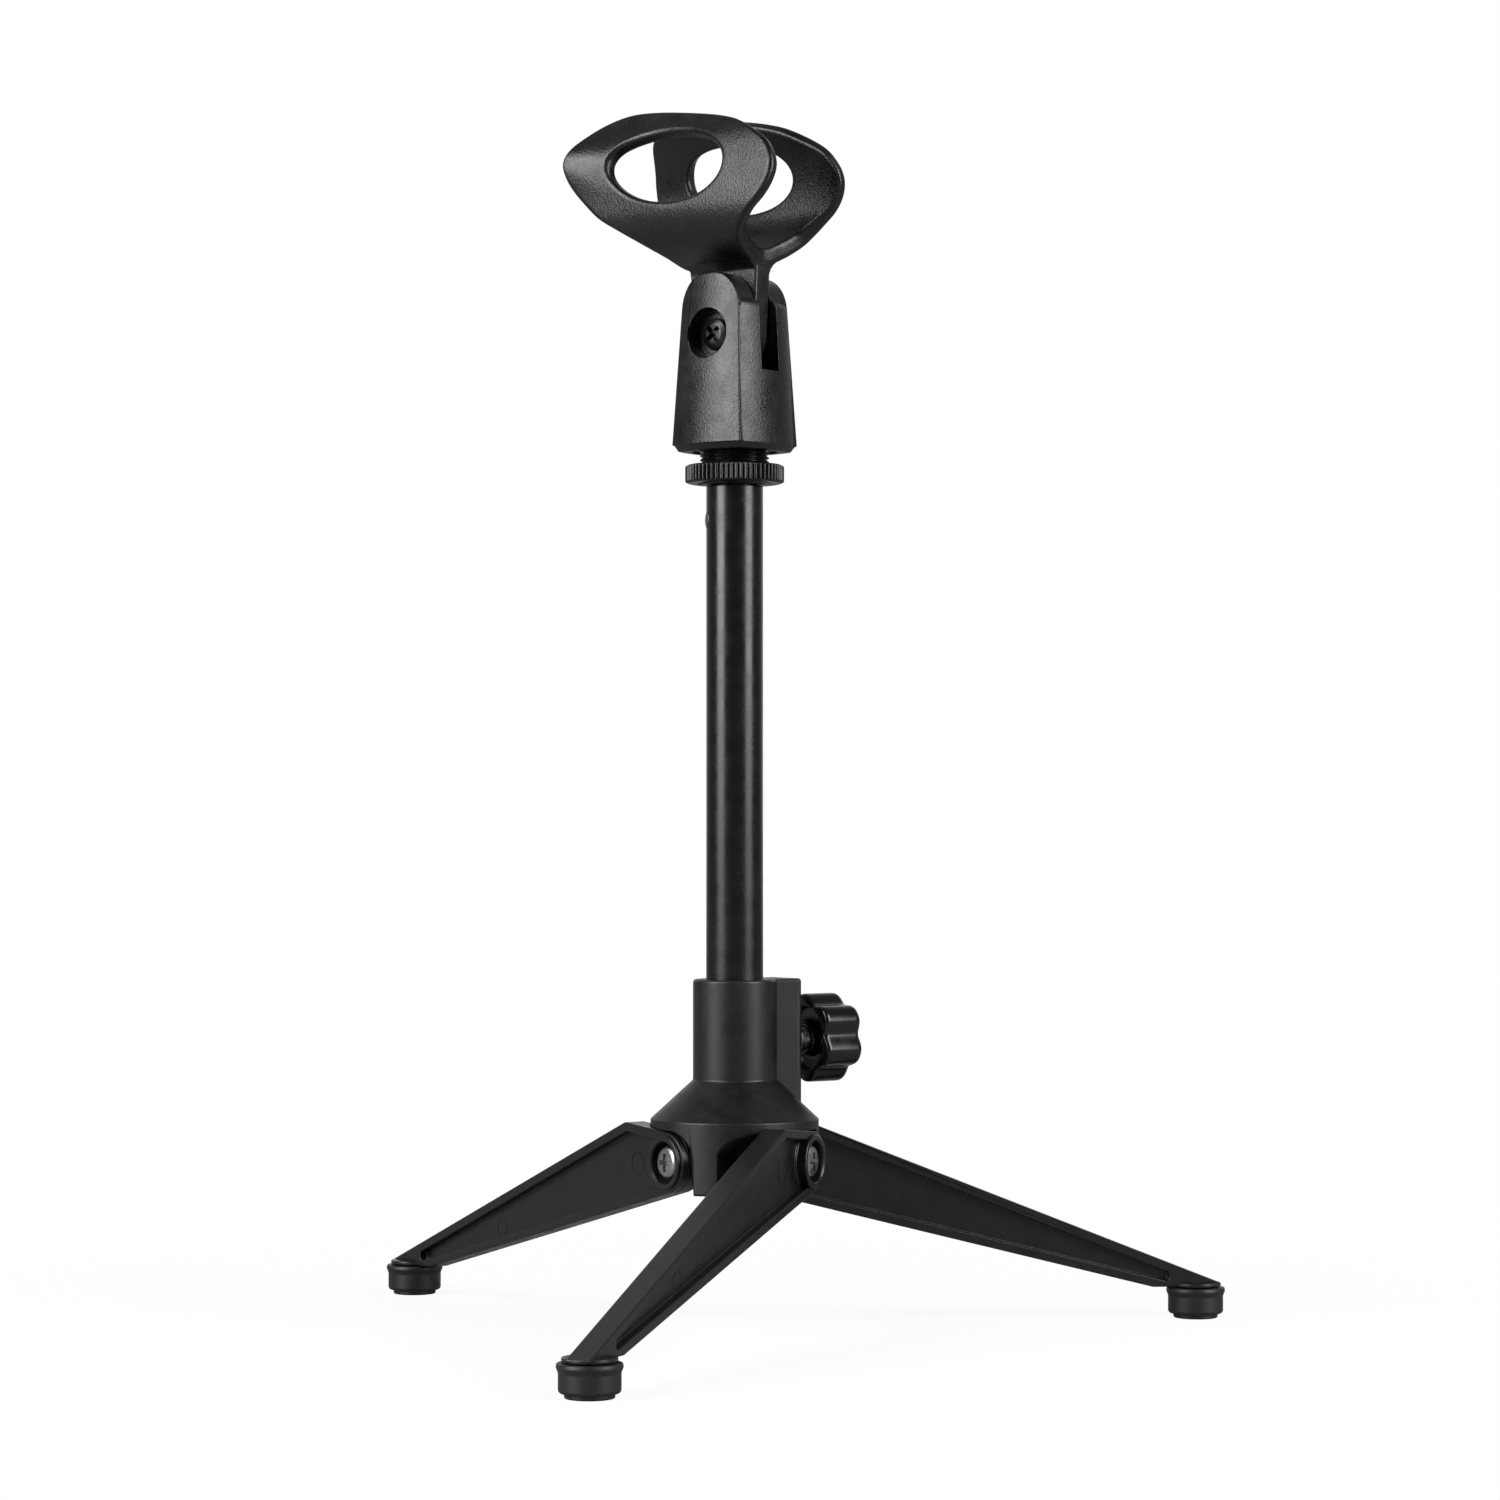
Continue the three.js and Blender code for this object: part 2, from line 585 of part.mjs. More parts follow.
function clipBase() {
  const core = loft([
    section(coreReach, BASE_BOTTOM, BASE_CHAMFER),
    section(coreReach, BASE_RIM_Z),
    section(coreReach, SHOULDER_Z - 2.4),
    section(coreReach, SHOULDER_Z - 0.9, 0.5),
    section(coreReach, SHOULDER_Z - 0.25, 1.2),
    section(coreReach, SHOULDER_Z, 2.2),
  ]);
  const sides = loft([
    section(sideReach, BASE_RIM_Z),
    section(sideReach, EAR_TOP - 1),
    section(sideReach, EAR_TOP, 1),
  ]);
  const slot = box([-20, 20], [-SLOT_HALF, SLOT_HALF], [SLOT_FLOOR, EAR_TOP + 1]);
  const insertSeat = cylinder(INSERT_R + 0.1, BASE_BOTTOM - 1, INSERT_TOP + 0.2);
  const studRoom = cylinder(THREAD_R + 0.5, INSERT_TOP, INSERT_TOP + 1.7);
  const atTilt = (geometry) => alongY(geometry).translate(0, 0, TILT_Z);
  return cut(
    join(core, common(earArch(), sides)),
    slot,
    insertSeat,
    studRoom,
    atTilt(cylinder(HEAD_SEAT_R, -20, -HEAD_SEAT_Y)),
    atTilt(cylinder(SCREW_R + 0.15, -20, 20, 20)),
    slab(hexagon(7.2), 5.4, 20).translate(0, 0, TILT_Z),
  );
}

function tiltScrew() {
  const under = HEAD_SEAT_Y + 0.1;
  const top = under + 2.1;
  const screw = turned([
    [0, -8.9], [SCREW_R, -8.9], [SCREW_R, under], [3.65, under], [3.65, top - 1.1], [3.1, top - 0.4],
    [2.0, top - 0.1], [0, top],
  ], 20);
  const drive = crossDrive(top, 1.4, 5.0, 1.2).rotateZ(radians(TILT_SCREW_TURN));
  return cut(screw, drive).rotateX(HALF_TURN / 2);
}

function tiltNut() {
  const shape = hexagon(7.0);
  shape.holes.push(circleShape(SCREW_R + 0.12));
  return slab(shape, 5.5, 8.6, { curveSegments: 8 });
}

piece(stand, 'clip_base', clipBase(), finishes.clip);
const threadInsert = ring(THREAD_R + 0.15, INSERT_R, BASE_BOTTOM + 0.5, INSERT_TOP);
piece(stand, 'thread_insert', threadInsert, finishes.blackSteel);

const tilt = new THREE.Group();
tilt.position.z = TILT_Z;
stand.add(tilt);
piece(tilt, 'tilt_screw', tiltScrew(), finishes.blackSteel);
piece(tilt, 'tilt_nut', tiltNut(), finishes.steel);

// ---- Clip head ----

// Half of the shell's section, seen along X: a curve in Y and Z from the keel to a wing's tip.
function sectionCurve(offset) {
  const spine = new THREE.SplineCurve([
    [0, 15.6], [2.8, 15.9], [5.8, 17.1], [9.2, 18.9], [12.9, 21.9], [15.3, 27], [15.6, 33], [14.7, 39],
    [12.6, 44.5], [8.9, 49.6], [6.5, 53.6],
  ].map(([y, z]) => new THREE.Vector2(y, z)));
  const points = [];
  const steps = 30;
  for (let i = 0; i <= steps; i += 1) {
    const point = spine.getPoint(i / steps);
    const along = spine.getTangent(i / steps);
    const depth = offset * (1 + KEEL_EXTRA * (1 - smoothstep(point.y, 18, 34)));
    points.push([Math.max(0, point.x - depth * along.y), point.y + depth * along.x]);
  }
  return points;
}

function shellSection() {
  const outer = sectionCurve(0);
  const inner = sectionCurve(WALL);
  const mirrored = (points) => points.slice(1).map(([y, z]) => [-y, z]);
  return outline([
    ...outer, ...inner.toReversed(), ...mirrored(inner), ...mirrored(outer).toReversed(),
  ]);
}

// The side view of both wings, in X and Z.
function wingOutline() {
  const shape = new THREE.Shape();
  shape.moveTo(-11.6, 13);
  shape.lineTo(7.2, 13);
  shape.splineThru([
    [9.4, 17.5], [11.7, 21.2], [14.8, 24.8], [18.6, 28.4], [21.1, 32], [21.9, 35.7], [20.7, 39.3],
    [17.4, 43.2], [9.8, 47.5], [3.5, 49.5], [-5.5, 51.1], [-17, 52.5], [-25, 52.5], [-31.3, 50.3],
    [-34.9, 46.8], [-36.7, 43.2], [-36.9, 39.4], [-34.7, 34], [-29, 28.1], [-23.4, 24.4],
    [-18, 21], [-14.2, 18], [-12, 15.2],
  ].map(([x, z]) => new THREE.Vector2(x, z)));
  return shape;
}

function windowOutline() {
  const { x, z, halfLength, halfHeight, slope } = WINDOW;
  return new THREE.Shape().absellipse(x, z, halfLength, halfHeight, 0, 2 * HALF_TURN, false, slope);
}

// Draw the wings in toward the front and spread their upper parts at the entry end.
function flare(geometry) {
  const place = geometry.attributes.position;
  for (let i = 0; i < place.count; i += 1) {
    const z = place.getZ(i);
    const along = place.getX(i) - FLARE_START;
    const narrower = FRONT_TAPER * Math.max(0, along) * smoothstep(z, 18, 42);
    const wider = END_FLARE * Math.min(0, along) ** 2 * smoothstep(z, 30, 44);
    place.setY(i, place.getY(i) * (1 + wider - narrower));
  }
  return geometry;
}

function shell() {
  const raw = new THREE.ExtrudeGeometry(shellSection(), { depth: 64, bevelEnabled: false, steps: 8 });
  return flare(raw.rotateX(HALF_TURN / 2).rotateZ(-HALF_TURN / 2).translate(24, 0, 0));
}

function tongue() {
  const shape = new THREE.Shape();
  const over = tangentPoint(STEM_FRONT, TONGUE_R, -1);
  const under = tangentPoint(STEM_REAR, TONGUE_R, 1);
  shape.moveTo(over[0], over[1]);
  shape.lineTo(STEM_FRONT[0], STEM_FRONT[1]);
  shape.lineTo(STEM_REAR[0] - 0.4, STEM_FRONT[1]);
  shape.lineTo(STEM_REAR[0], STEM_REAR[1]);
  shape.lineTo(under[0], under[1]);
  shape.absarc(0, 0, TONGUE_R, under[2], over[2] + 2 * HALF_TURN);
  return slab(shape, -TONGUE_HALF, TONGUE_HALF, { curveSegments: 18 });
}

// A flared web that runs along the stem's top and spreads into the keel.
function gusset() {
  const half = [[2.6, 12], [2.8, 13.6], [3.2, 15], [4, 16], [5, 16.9]];
  const mirrored = half.map(([y, z]) => [-y, z]).toReversed();
  const settings = { depth: STEM_FRONT[0] - STEM_REAR[0] - 0.8, bevelEnabled: false };
  const raw = new THREE.ExtrudeGeometry(outline([...half, ...mirrored]), settings);
  return raw.rotateX(HALF_TURN / 2).rotateZ(-HALF_TURN / 2).translate(STEM_FRONT[0] - 0.3, 0, 0);
}

function clipHead() {
  const wings = common(shell(), slab(wingOutline(), -30, 30, { curveSegments: 2 }));
  const opened = cut(
    wings,
    slab(windowOutline(), -30, 30, { curveSegments: 20 }),
    alongY(cylinder(HEAD_CLEARANCE_R, -30, 30, 48)),
  );
  const screwHole = alongY(cylinder(SCREW_R + 0.2, -5, 5, 20));
  return cut(join(opened, tongue(), gusset()), screwHole);
}

piece(tilt, 'clip_head', clipHead(), finishes.clip);

// ---- The row's origin: the middle of the footprint, on the desk ----

const bounds = new THREE.Box3().setFromObject(stand, true);
const middle = bounds.getCenter(new THREE.Vector3());
stand.position.set(-middle.x, -middle.y, -bounds.min.z);

export default stand;
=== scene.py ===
"""Folding desktop microphone stand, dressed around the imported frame.

The pieces are modelled in millimetres about the mast's axis and then placed in the row frame in metres.
"""

import math

import bmesh
import bpy
from mathutils import Matrix, Vector


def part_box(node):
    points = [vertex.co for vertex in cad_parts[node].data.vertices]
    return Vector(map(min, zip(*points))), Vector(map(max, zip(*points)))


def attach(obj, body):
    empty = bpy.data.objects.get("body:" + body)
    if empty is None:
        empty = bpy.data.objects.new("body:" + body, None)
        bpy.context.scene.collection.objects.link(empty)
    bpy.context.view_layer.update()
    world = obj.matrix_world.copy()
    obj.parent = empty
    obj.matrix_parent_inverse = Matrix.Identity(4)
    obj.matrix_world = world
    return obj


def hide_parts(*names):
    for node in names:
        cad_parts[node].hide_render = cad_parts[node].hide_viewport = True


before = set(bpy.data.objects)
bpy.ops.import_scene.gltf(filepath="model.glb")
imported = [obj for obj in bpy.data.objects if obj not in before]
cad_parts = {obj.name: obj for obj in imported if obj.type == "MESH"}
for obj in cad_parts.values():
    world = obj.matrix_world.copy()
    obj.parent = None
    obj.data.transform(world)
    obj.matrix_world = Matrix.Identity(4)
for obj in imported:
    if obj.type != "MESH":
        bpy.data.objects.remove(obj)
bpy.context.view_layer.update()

# ---- Frame ----

tube_low, tube_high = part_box("tube")
MAST = Vector(((tube_low.x + tube_high.x) / 2, (tube_low.y + tube_high.y) / 2, 0))
TO_ROW = Matrix.Translation(MAST) @ Matrix.Scale(0.001, 4)
ALONG_X = Matrix.Rotation(math.pi / 2, 4, "Y")
ALONG_Y = Matrix.Rotation(-math.pi / 2, 4, "X")
UPRIGHT = Matrix.Rotation(math.pi / 2, 4, "X")
FINE, MEDIUM, SMALL, TINY = 96, 72, 48, 32  # sides of a round piece, from the hub down to a screw hole
ON_AXIS = 1e-6  # a smaller radius counts as none
MERGE = 0.005  # corners nearer than this are one corner
PAST = 20  # how far a tool reaches on either side of the clip base

# ---- Dimensions in millimetres, as the CAD has them ----

TUBE_R, TUBE_INNER_R, TUBE_BOTTOM, TUBE_TOP = 6.5, 5.5, 38.0, 193.0
THREAD_R, THREAD_PITCH, THREAD_DEPTH, STUD_TOP, SHANK_BOTTOM = 7.94, 0.94, 0.6, 210.0, 176
PIN_R, PIN_Z, PIN_AZIMUTH, PIN_START = 1.8, 185.2, 233, 2
LOCK_NUT_R, LOCK_NUT_BOTTOM, LOCK_NUT_TOP, LOCK_NUT_RIBS, RIB_DEPTH = 11.3, 193.6, 197.8, 60, 0.55
COLLAR_R, COLLAR_TOP, CONE_TOP = 9.5, 80.6, 57.7
RIM_R, RIM_TOP, RIM_BOTTOM, DRUM_BOTTOM = 19.2, 48.8, 46.7, 32.5
CONE_PEAK, COLLAR_FOOT = CONE_TOP + 0.55, DRUM_BOTTOM + 8
BORE_R, CLEARANCE = 6.65, 0.15
LUG_HALF_WIDTH, LUG_END, LUG_AZIMUTH, LUG_CORNER = 6.0, 15.4, 76.5, 1.1
POCKET_SIDE, POCKET_CORNER, POCKET_WALL, ARCH_WIDTH, ARCH_HEIGHT = 7.8, 6.5, 4.1, 10.0, 5.6
LEG_INSERT_R, LEG_INSERT_START, CLAMP_NUT_R, CLAMP_NUT_START = 3.35, 7.2, 4.9, 8.6
CLAMP_Z, CLAMP_STUD_R, CLAMP_PITCH, CLAMP_THREAD_DEPTH = 66.6, 2.5, 1.0, 0.45
KNOB_R, KNOB_VALLEY, KNOB_LOBES, KNOB_PHASE, KNOB_BACK, KNOB_FRONT = 10.2, 1.7, 6, -6, 19.5, 30.0
KNOB_BOSS_R, KNOB_HOLLOW_R, KNOB_HOLLOW_DEPTH, KNOB_BORE_DEPTH, KNOB_EDGE_R = 4.0, 7.4, 2.6, 8.0, 1.7
LEG_AZIMUTHS, PIVOT_Z = (46.5, 166.5, 286.5), 39.6
LEG_INNER, LEG_OUTER, LEG_RECESS, LEG_BORDER = 14.0, 19.5, 2.0, 2.1
RECESS_START, RECESS_END = 1, 104
MOULD_MARKS, MARK_HALF_WIDTH = ((70, -20, 2.1), (13.4, -1.0, 2.4)), 0.12
BOSS_R, BOSS_FACE, BOSS_BACK, ROOT_R = 6.1, 20.2, 11.9, 6.9
SCREW_R, HEAD_R, COUNTERBORE_R, COUNTERBORE_FLOOR, SEAT_FACE = 2.0, 3.8, 4.7, 17.3, 11.6
LEG_SCREW_START, WASHER_R = 7.6, 3.7
HEEL, LEG_TIP = (16.0, 8.3), (116.5, -31.4)
FOOT_X, FOOT_Y, CAP_R, CAP_WAIST_R, CAP_TOP, CAP_BOTTOM = 110.9, 16.75, 6.9, 6.45, 7.2, 1.0
PAD_R, PEG_R, PEG_FLANGE_R, SOLE_Z, SOLE_X = 5.2, 3.9, 5.8, 7.5, 100.2
SOLE, PEG_BOTTOM = SOLE_Z - PIVOT_Z, 3.4 - PIVOT_Z
TILT_Z, BASE_BOTTOM, BASE_RIM_Z, SHOULDER_Z, SHOULDER_R = 227.1, 200.7, 202.1, 235.0, 2.3
EAR_TOP, EAR_HALF_WIDTH, EAR_TAPER = 241.2, 8.45, 0.054
SIDE_Y, SIDE_TAPER, SIDE_CURVE_R = 11.85, 0.0625, 30
CORE_X, CORE_TAPER, CORE_CURVE_Y, CORE_INSET = 11.9, 0.06, 17, 0.3
HEAD_SEAT_R, HEAD_SEAT_Y, SLOT_HALF, SLOT_FLOOR = 5.7, 5.6, 2.95, 218.8
INSERT_R, INSERT_TOP, TILT_NUT_R, TILT_NUT_Y = 9.6, 212.5, 4.16, 5.4
TILT_HEAD_R, TILT_SCREW_END, TILT_SCREW_TURN = 3.65, -8.9, 40
TONGUE_HALF, TONGUE_R, WALL, KEEL_EXTRA = 2.65, 7.8, 3.0, 0.35
STEM_FRONT, STEM_REAR = (8.6, 15.8), (-11.2, 13.3)
FRONT_TAPER, END_FLARE, FLARE_START = 0.005, 0.00044, -9
RIM_OUTER_R, RIM_INNER_R = 1.1, 0.9
WINDOW_X, WINDOW_LOW, WINDOW_HIGH, WINDOW_HALF_LENGTH, WINDOW_SLOPE = -8.8, 30.0, 46.8, 16.3, -0.11

# ---- Outlines ----


def fillet(corners, closed=True, steps=6):
    """A polyline from corners (x, y) or (x, y, radius), with an arc at each corner that has a radius."""
    points = []
    count = len(corners)
    for i, corner in enumerate(corners):
        here = Vector(corner[:2])
        radius = corner[2] if len(corner) > 2 else 0
        if not radius or (not closed and i in (0, count - 1)):
            points.append(tuple(here))
            continue
        before = (Vector(corners[i - 1][:2]) - here).normalized()
        after = (Vector(corners[(i + 1) % count][:2]) - here).normalized()
        half = math.acos(max(-1, min(1, before.dot(after)))) / 2
        reach = radius / math.tan(half)
        centre = here + (before + after).normalized() * (radius / math.sin(half))
        start = here + before * reach - centre
        end = here + after * reach - centre
        sweep = start.angle_signed(end)
        for k in range(steps + 1):
            turn = Matrix.Rotation(-sweep * k / steps, 2)
            points.append(tuple(centre + turn @ start))
    return points


def arc(cx, cy, radius, start, end, steps):
    """Points along a circle between two angles in radians."""
    angles = [start + (end - start) * k / steps for k in range(steps + 1)]
    return [(cx + radius * math.cos(a), cy + radius * math.sin(a)) for a in angles]


def tangent_point(point, radius, side):
    """Where the line from a far point touches a circle about the origin, and the angle there."""
    angle = math.atan2(point[1], point[0]) + side * math.acos(radius / math.hypot(*point))
    return radius * math.cos(angle), radius * math.sin(angle), angle


def line_at(one, two, offset):
    """Height at x along the line through two points, moved square to itself by offset."""
    slope = (two[1] - one[1]) / (two[0] - one[0])
    return lambda x: one[1] + slope * (x - one[0]) + offset * math.hypot(1, slope)


def spline(knots, steps, first=None):
    """A smooth curve through the knots, steps points to each stretch."""
    padded = [first or knots[0], *knots, knots[-1]]
    points = []
    for i in range(1, len(padded) - 2):
        p0, p1, p2, p3 = (Vector(p) for p in padded[i - 1 : i + 3])
        for k in range(steps):
            t = k / steps
            points.append(
                0.5 * (2 * p1 + (p2 - p0) * t + (2 * p0 - 5 * p1 + 4 * p2 - p3) * t**2
                       + (3 * p1 - p0 - 3 * p2 + p3) * t**3)
            )
    points.append(Vector(knots[-1]))
    return points


def interpolated(value, keys, values):
    """The value between two rows of an increasing table."""
    if value <= keys[0]:
        return values[0]
    for i in range(1, len(keys)):
        if value <= keys[i]:
            share = (value - keys[i - 1]) / (keys[i] - keys[i - 1])
            return values[i - 1] + (values[i] - values[i - 1]) * share
    return values[-1]


def smoothstep(value, low, high):
    """A soft rise from 0 to 1 between two values."""
    share = max(0.0, min(1.0, (value - low) / (high - low)))
    return share * share * (3 - 2 * share)


def lengths_along(path):
    """The distance from a path's first point to each of its points."""
    lengths = [0.0]
    for one, two in zip(path, path[1:]):
        lengths.append(lengths[-1] + (two - one).length)
    return lengths


# ---- Solids ----


def solid(points, faces):
    """A mesh object with its faces turned outward."""
    mesh = bpy.data.meshes.new("work")
    mesh.from_pydata([tuple(p) for p in points], [], faces)
    shape = bmesh.new()
    shape.from_mesh(mesh)
    bmesh.ops.recalc_face_normals(shape, faces=shape.faces)
    shape.to_mesh(mesh)
    shape.free()
    made = bpy.data.objects.new("work", mesh)
    bpy.context.scene.collection.objects.link(made)
    return made


def skin(loops, wrap=False):
    """A body from loops of points; a loop of one point closes the body there."""
    points, rings, faces = [], [], []
    for loop in loops:
        rings.append(range(len(points), len(points) + len(loop)))
        points.extend(loop)
    pairs = list(zip(rings, rings[1:]))
    if wrap:
        pairs.append((rings[-1], rings[0]))
    for one, two in pairs:
        sides = max(len(one), len(two))
        for k in range(sides):
            j = (k + 1) % sides
            if len(one) == 1:
                faces.append((one[0], two[k], two[j]))
            elif len(two) == 1:
                faces.append((one[k], one[j], two[0]))
            else:
                faces.append((one[k], one[j], two[j], two[k]))
    return solid(points, faces)


def level_ring(z, radius_at, sides, phase=0):
    """A level loop about Z; radius_at gives the radius at an angle in radians."""
    loop = []
    for k in range(sides):
        angle = 2 * math.pi * (k + phase) / sides
        r = radius_at(angle)
        loop.append((r * math.cos(angle), r * math.sin(angle), z))
    return loop


def circle(z, radius, sides):
    """A level circle about Z, or one point where the radius is nothing."""
    return [(0, 0, z)] if radius < ON_AXIS else level_ring(z, lambda angle: radius, sides)


def lathe(profile, sides=FINE, wrap=False):
    """A body of revolution about Z from (radius, z) points."""
    return skin([circle(z, radius, sides) for radius, z in profile], wrap)


def cylinder(radius, low, high, sides=SMALL):
    """A plain round rod about Z."""
    return lathe([(0, low), (radius, low), (radius, high), (0, high)], sides)


def prism(outline, low, high):
    """An outline in X and Y, pushed along Z."""
    count = len(outline)
    points = [(x, y, z) for z in (low, high) for x, y in outline]
    faces = [(k, (k + 1) % count, count + (k + 1) % count, count + k) for k in range(count)]
    return solid(points, [*faces, tuple(range(count)), tuple(range(count, 2 * count))])


def slab(outline, low, high):
    """An outline in X and Z, pushed along Y."""
    return moved(prism(outline, -high, -low), UPRIGHT)


def moved(made, *matrices):
    """The object with each matrix applied to its mesh in turn."""
    for matrix in matrices:
        made.data.transform(matrix)
    return made


def applied(made):
    """The object with its modifiers made part of its mesh."""
    bpy.context.view_layer.update()
    graph = bpy.context.evaluated_depsgraph_get()
    mesh = bpy.data.meshes.new_from_object(made.evaluated_get(graph))
    made.modifiers.clear()
    made.data = mesh
    return made


def cleaned(made):
    """The object with its nearly equal corners merged."""
    shape = bmesh.new()
    shape.from_mesh(made.data)
    bmesh.ops.remove_doubles(shape, verts=shape.verts, dist=MERGE)
    bmesh.ops.dissolve_degenerate(shape, edges=shape.edges, dist=MERGE)
    bmesh.ops.recalc_face_normals(shape, faces=shape.faces)
    shape.to_mesh(made.data)
    shape.free()
    return made


def combined(operation, body, *tools):
    """The body after one boolean with each tool; the tools are used up."""
    for tool in tools:
        modifier = body.modifiers.new("combine", "BOOLEAN")
        modifier.operation = operation
        modifier.solver = "MANIFOLD"
        modifier.object = tool
        applied(body)
        bpy.data.objects.remove(tool)
    return body


def cut(body, *tools):
    return combined("DIFFERENCE", body, *tools)


def join(body, *tools):
    return combined("UNION", body, *tools)


def common(body, *tools):
    return combined("INTERSECT", body, *tools)


def bevelled(made, width, segments=3, sharper_than=35):
    """The object with rounded edges where two faces meet at a larger angle."""
    modifier = cleaned(made).modifiers.new("bevel", "BEVEL")
    modifier.width = width
    modifier.segments = segments
    modifier.limit_method = "ANGLE"
    modifier.angle_limit = math.radians(sharper_than)
    modifier.use_clamp_overlap = False
    modifier.miter_outer = "MITER_ARC"
    return applied(made)


def about(azimuth, lift=0.0):
    """Turn about the mast by degrees, and lift."""
    return Matrix.Rotation(math.radians(azimuth), 4, "Z") @ Matrix.Translation((0, 0, lift))


AT_CLAMP = about(LUG_AZIMUTH, CLAMP_Z)
AT_PIN = about(PIN_AZIMUTH, PIN_Z)
AT_TILT = Matrix.Translation((0, 0, TILT_Z))
ON_PEG = Matrix.Translation((FOOT_X, FOOT_Y, 0))


def placed(made, name, body, nodes, material, where=None, smooth=35):
    """Name a finished piece, put it in the row frame, hang it on its body and hide the CAD nodes it replaces.
    """
    if where is not None:
        made.data.transform(where)
    made.data.transform(TO_ROW)
    made.name = name
    made.data.name = name
    made.data.materials.clear()
    made.data.materials.append(material)
    made.data.polygons.foreach_set("use_smooth", [True] * len(made.data.polygons))
    made.data.set_sharp_from_angle(angle=math.radians(smooth))
    normals = made.modifiers.new("normals", "WEIGHTED_NORMAL")
    normals.keep_sharp = True
    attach(made, body)
    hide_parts(*nodes)


# ---- Materials ----

PATCH_MM, SMUDGE_MM = 9.0, 4.0  # size of the uneven colour and of the uneven gloss
NOISE_LOW, NOISE_HIGH = 0.3, 0.7  # the part of the noise's range that is used
EDGE_LOW, EDGE_HIGH = 0.52, 0.64  # how pointed an edge is where the lighter edge colour (part abrasion, part painted highlight) starts and is complete


def linear(level):
    """A display level from 0 to 255 as linear light."""
    value = level / 255
    return value / 12.92 if value <= 0.04045 else ((value + 0.055) / 1.055) ** 2.4


def ranged(tree, source, from_low, from_high, to_low, to_high):
    """A socket's value carried from one range to another."""
    limits = tree.nodes.new("ShaderNodeMapRange")
    ends = {"From Min": from_low, "From Max": from_high, "To Min": to_low, "To Max": to_high}
    for key, value in ends.items():
        limits.inputs[key].default_value = value
    tree.links.new(source, limits.inputs["Value"])
    return limits.outputs["Result"]


def mixed(tree, factor, colour_a, colour_b):
    """A colour between two others, each of them an RGB tuple or a socket."""
    mix = tree.nodes.new("ShaderNodeMix")
    mix.data_type = "RGBA"
    tree.links.new(factor, mix.inputs["Factor"])
    for key, colour in ((6, colour_a), (7, colour_b)):
        if isinstance(colour, tuple):
            mix.inputs[key].default_value = (*colour, 1)
        else:
            tree.links.new(colour, mix.inputs[key])
    return mix.outputs[2]


def surface(name, tone, roughness, grain_mm, depth_mm, metallic=0.0, edge_wear_and_highlight=1.6, mottle=0.25, spread=0.08,
            tint=(1.0, 1.0, 1.0)):
    """A moulded, painted or metal surface: grain in its relief, uneven gloss and colour, and edges lightened
    as abrasion and as a painted highlight.
    """
    made = bpy.data.materials.new(name)
    made.use_nodes = True
    tree = made.node_tree
    shader = tree.nodes["Principled BSDF"]
    shader.inputs["Metallic"].default_value = metallic
    place = tree.nodes.new("ShaderNodeTexCoord").outputs["Object"]

    def noise(size_mm, detail, rough=0.55):
        texture = tree.nodes.new("ShaderNodeTexNoise")
        texture.inputs["Scale"].default_value = 1000 / size_mm
        texture.inputs["Detail"].default_value = detail
        texture.inputs["Roughness"].default_value = rough
        tree.links.new(place, texture.inputs["Vector"])
        return texture.outputs["Fac"]

    base = tuple(linear(tone) * t for t in tint)
    dark = tuple(c * (1 - mottle) for c in base)
    light = tuple(c * (1 + mottle) for c in base)
    worn_and_highlit = tuple(min(1.0, c * edge_wear_and_highlight) for c in base)
    patches = ranged(tree, noise(PATCH_MM, 4), NOISE_LOW, NOISE_HIGH, 0, 1)
    # Pointed edges get a lighter colour: partly abrasion, partly a painted highlight standing in for glints
    # on the rounded edges.
    edges = tree.nodes.new("ShaderNodeNewGeometry").outputs["Pointiness"]
    rubbing_and_highlight = ranged(tree, edges, EDGE_LOW, EDGE_HIGH, 0, 1)
    rubbed_and_highlit = mixed(tree, rubbing_and_highlight, mixed(tree, patches, dark, light), worn_and_highlit)
    tree.links.new(rubbed_and_highlit, shader.inputs["Base Color"])
    gloss = ranged(tree, noise(SMUDGE_MM, 5), NOISE_LOW, NOISE_HIGH, roughness - spread, roughness + spread)
    tree.links.new(gloss, shader.inputs["Roughness"])
    bump = tree.nodes.new("ShaderNodeBump")
    bump.inputs["Strength"].default_value = 1.0
    bump.inputs["Distance"].default_value = depth_mm * 0.001
    tree.links.new(noise(grain_mm, 3, 0.6), bump.inputs["Height"])
    tree.links.new(bump.outputs["Normal"], shader.inputs["Normal"])
    return made


HUB = surface("hub_satin", tone=6, roughness=0.44, grain_mm=0.5, depth_mm=0.014)
LEG = surface("leg_satin", tone=17, roughness=0.33, grain_mm=0.6, depth_mm=0.010)
CLIP = surface("clip_grained", tone=10, roughness=0.34, grain_mm=0.55, depth_mm=0.09)
KNOB = surface("knob_gloss", tone=10, roughness=0.2, grain_mm=2.0, depth_mm=0.006, spread=0.05)
PAINT = surface("tube_paint", tone=12, roughness=0.26, grain_mm=0.7, depth_mm=0.008, spread=0.05)
RUBBER = surface("foot_rubber", tone=18, roughness=0.45, grain_mm=0.4, depth_mm=0.02)
BLACK_STEEL = surface("black_oxide", tone=52, roughness=0.3, grain_mm=0.5, depth_mm=0.01, metallic=0.9)
DULL_STEEL = surface("dull_steel", tone=80, roughness=0.5, grain_mm=0.6, depth_mm=0.01, metallic=0.9)
STEEL = surface("nickel", tone=170, roughness=0.28, grain_mm=0.8, depth_mm=0.01, metallic=1.0,
                edge_wear_and_highlight=1.15, mottle=0.06)
BRASS = surface("brass", tone=165, roughness=0.33, grain_mm=0.8, depth_mm=0.01, metallic=1.0,
                edge_wear_and_highlight=1.1, mottle=0.08, tint=(1.0, 0.78, 0.4))

# ---- Hub ----


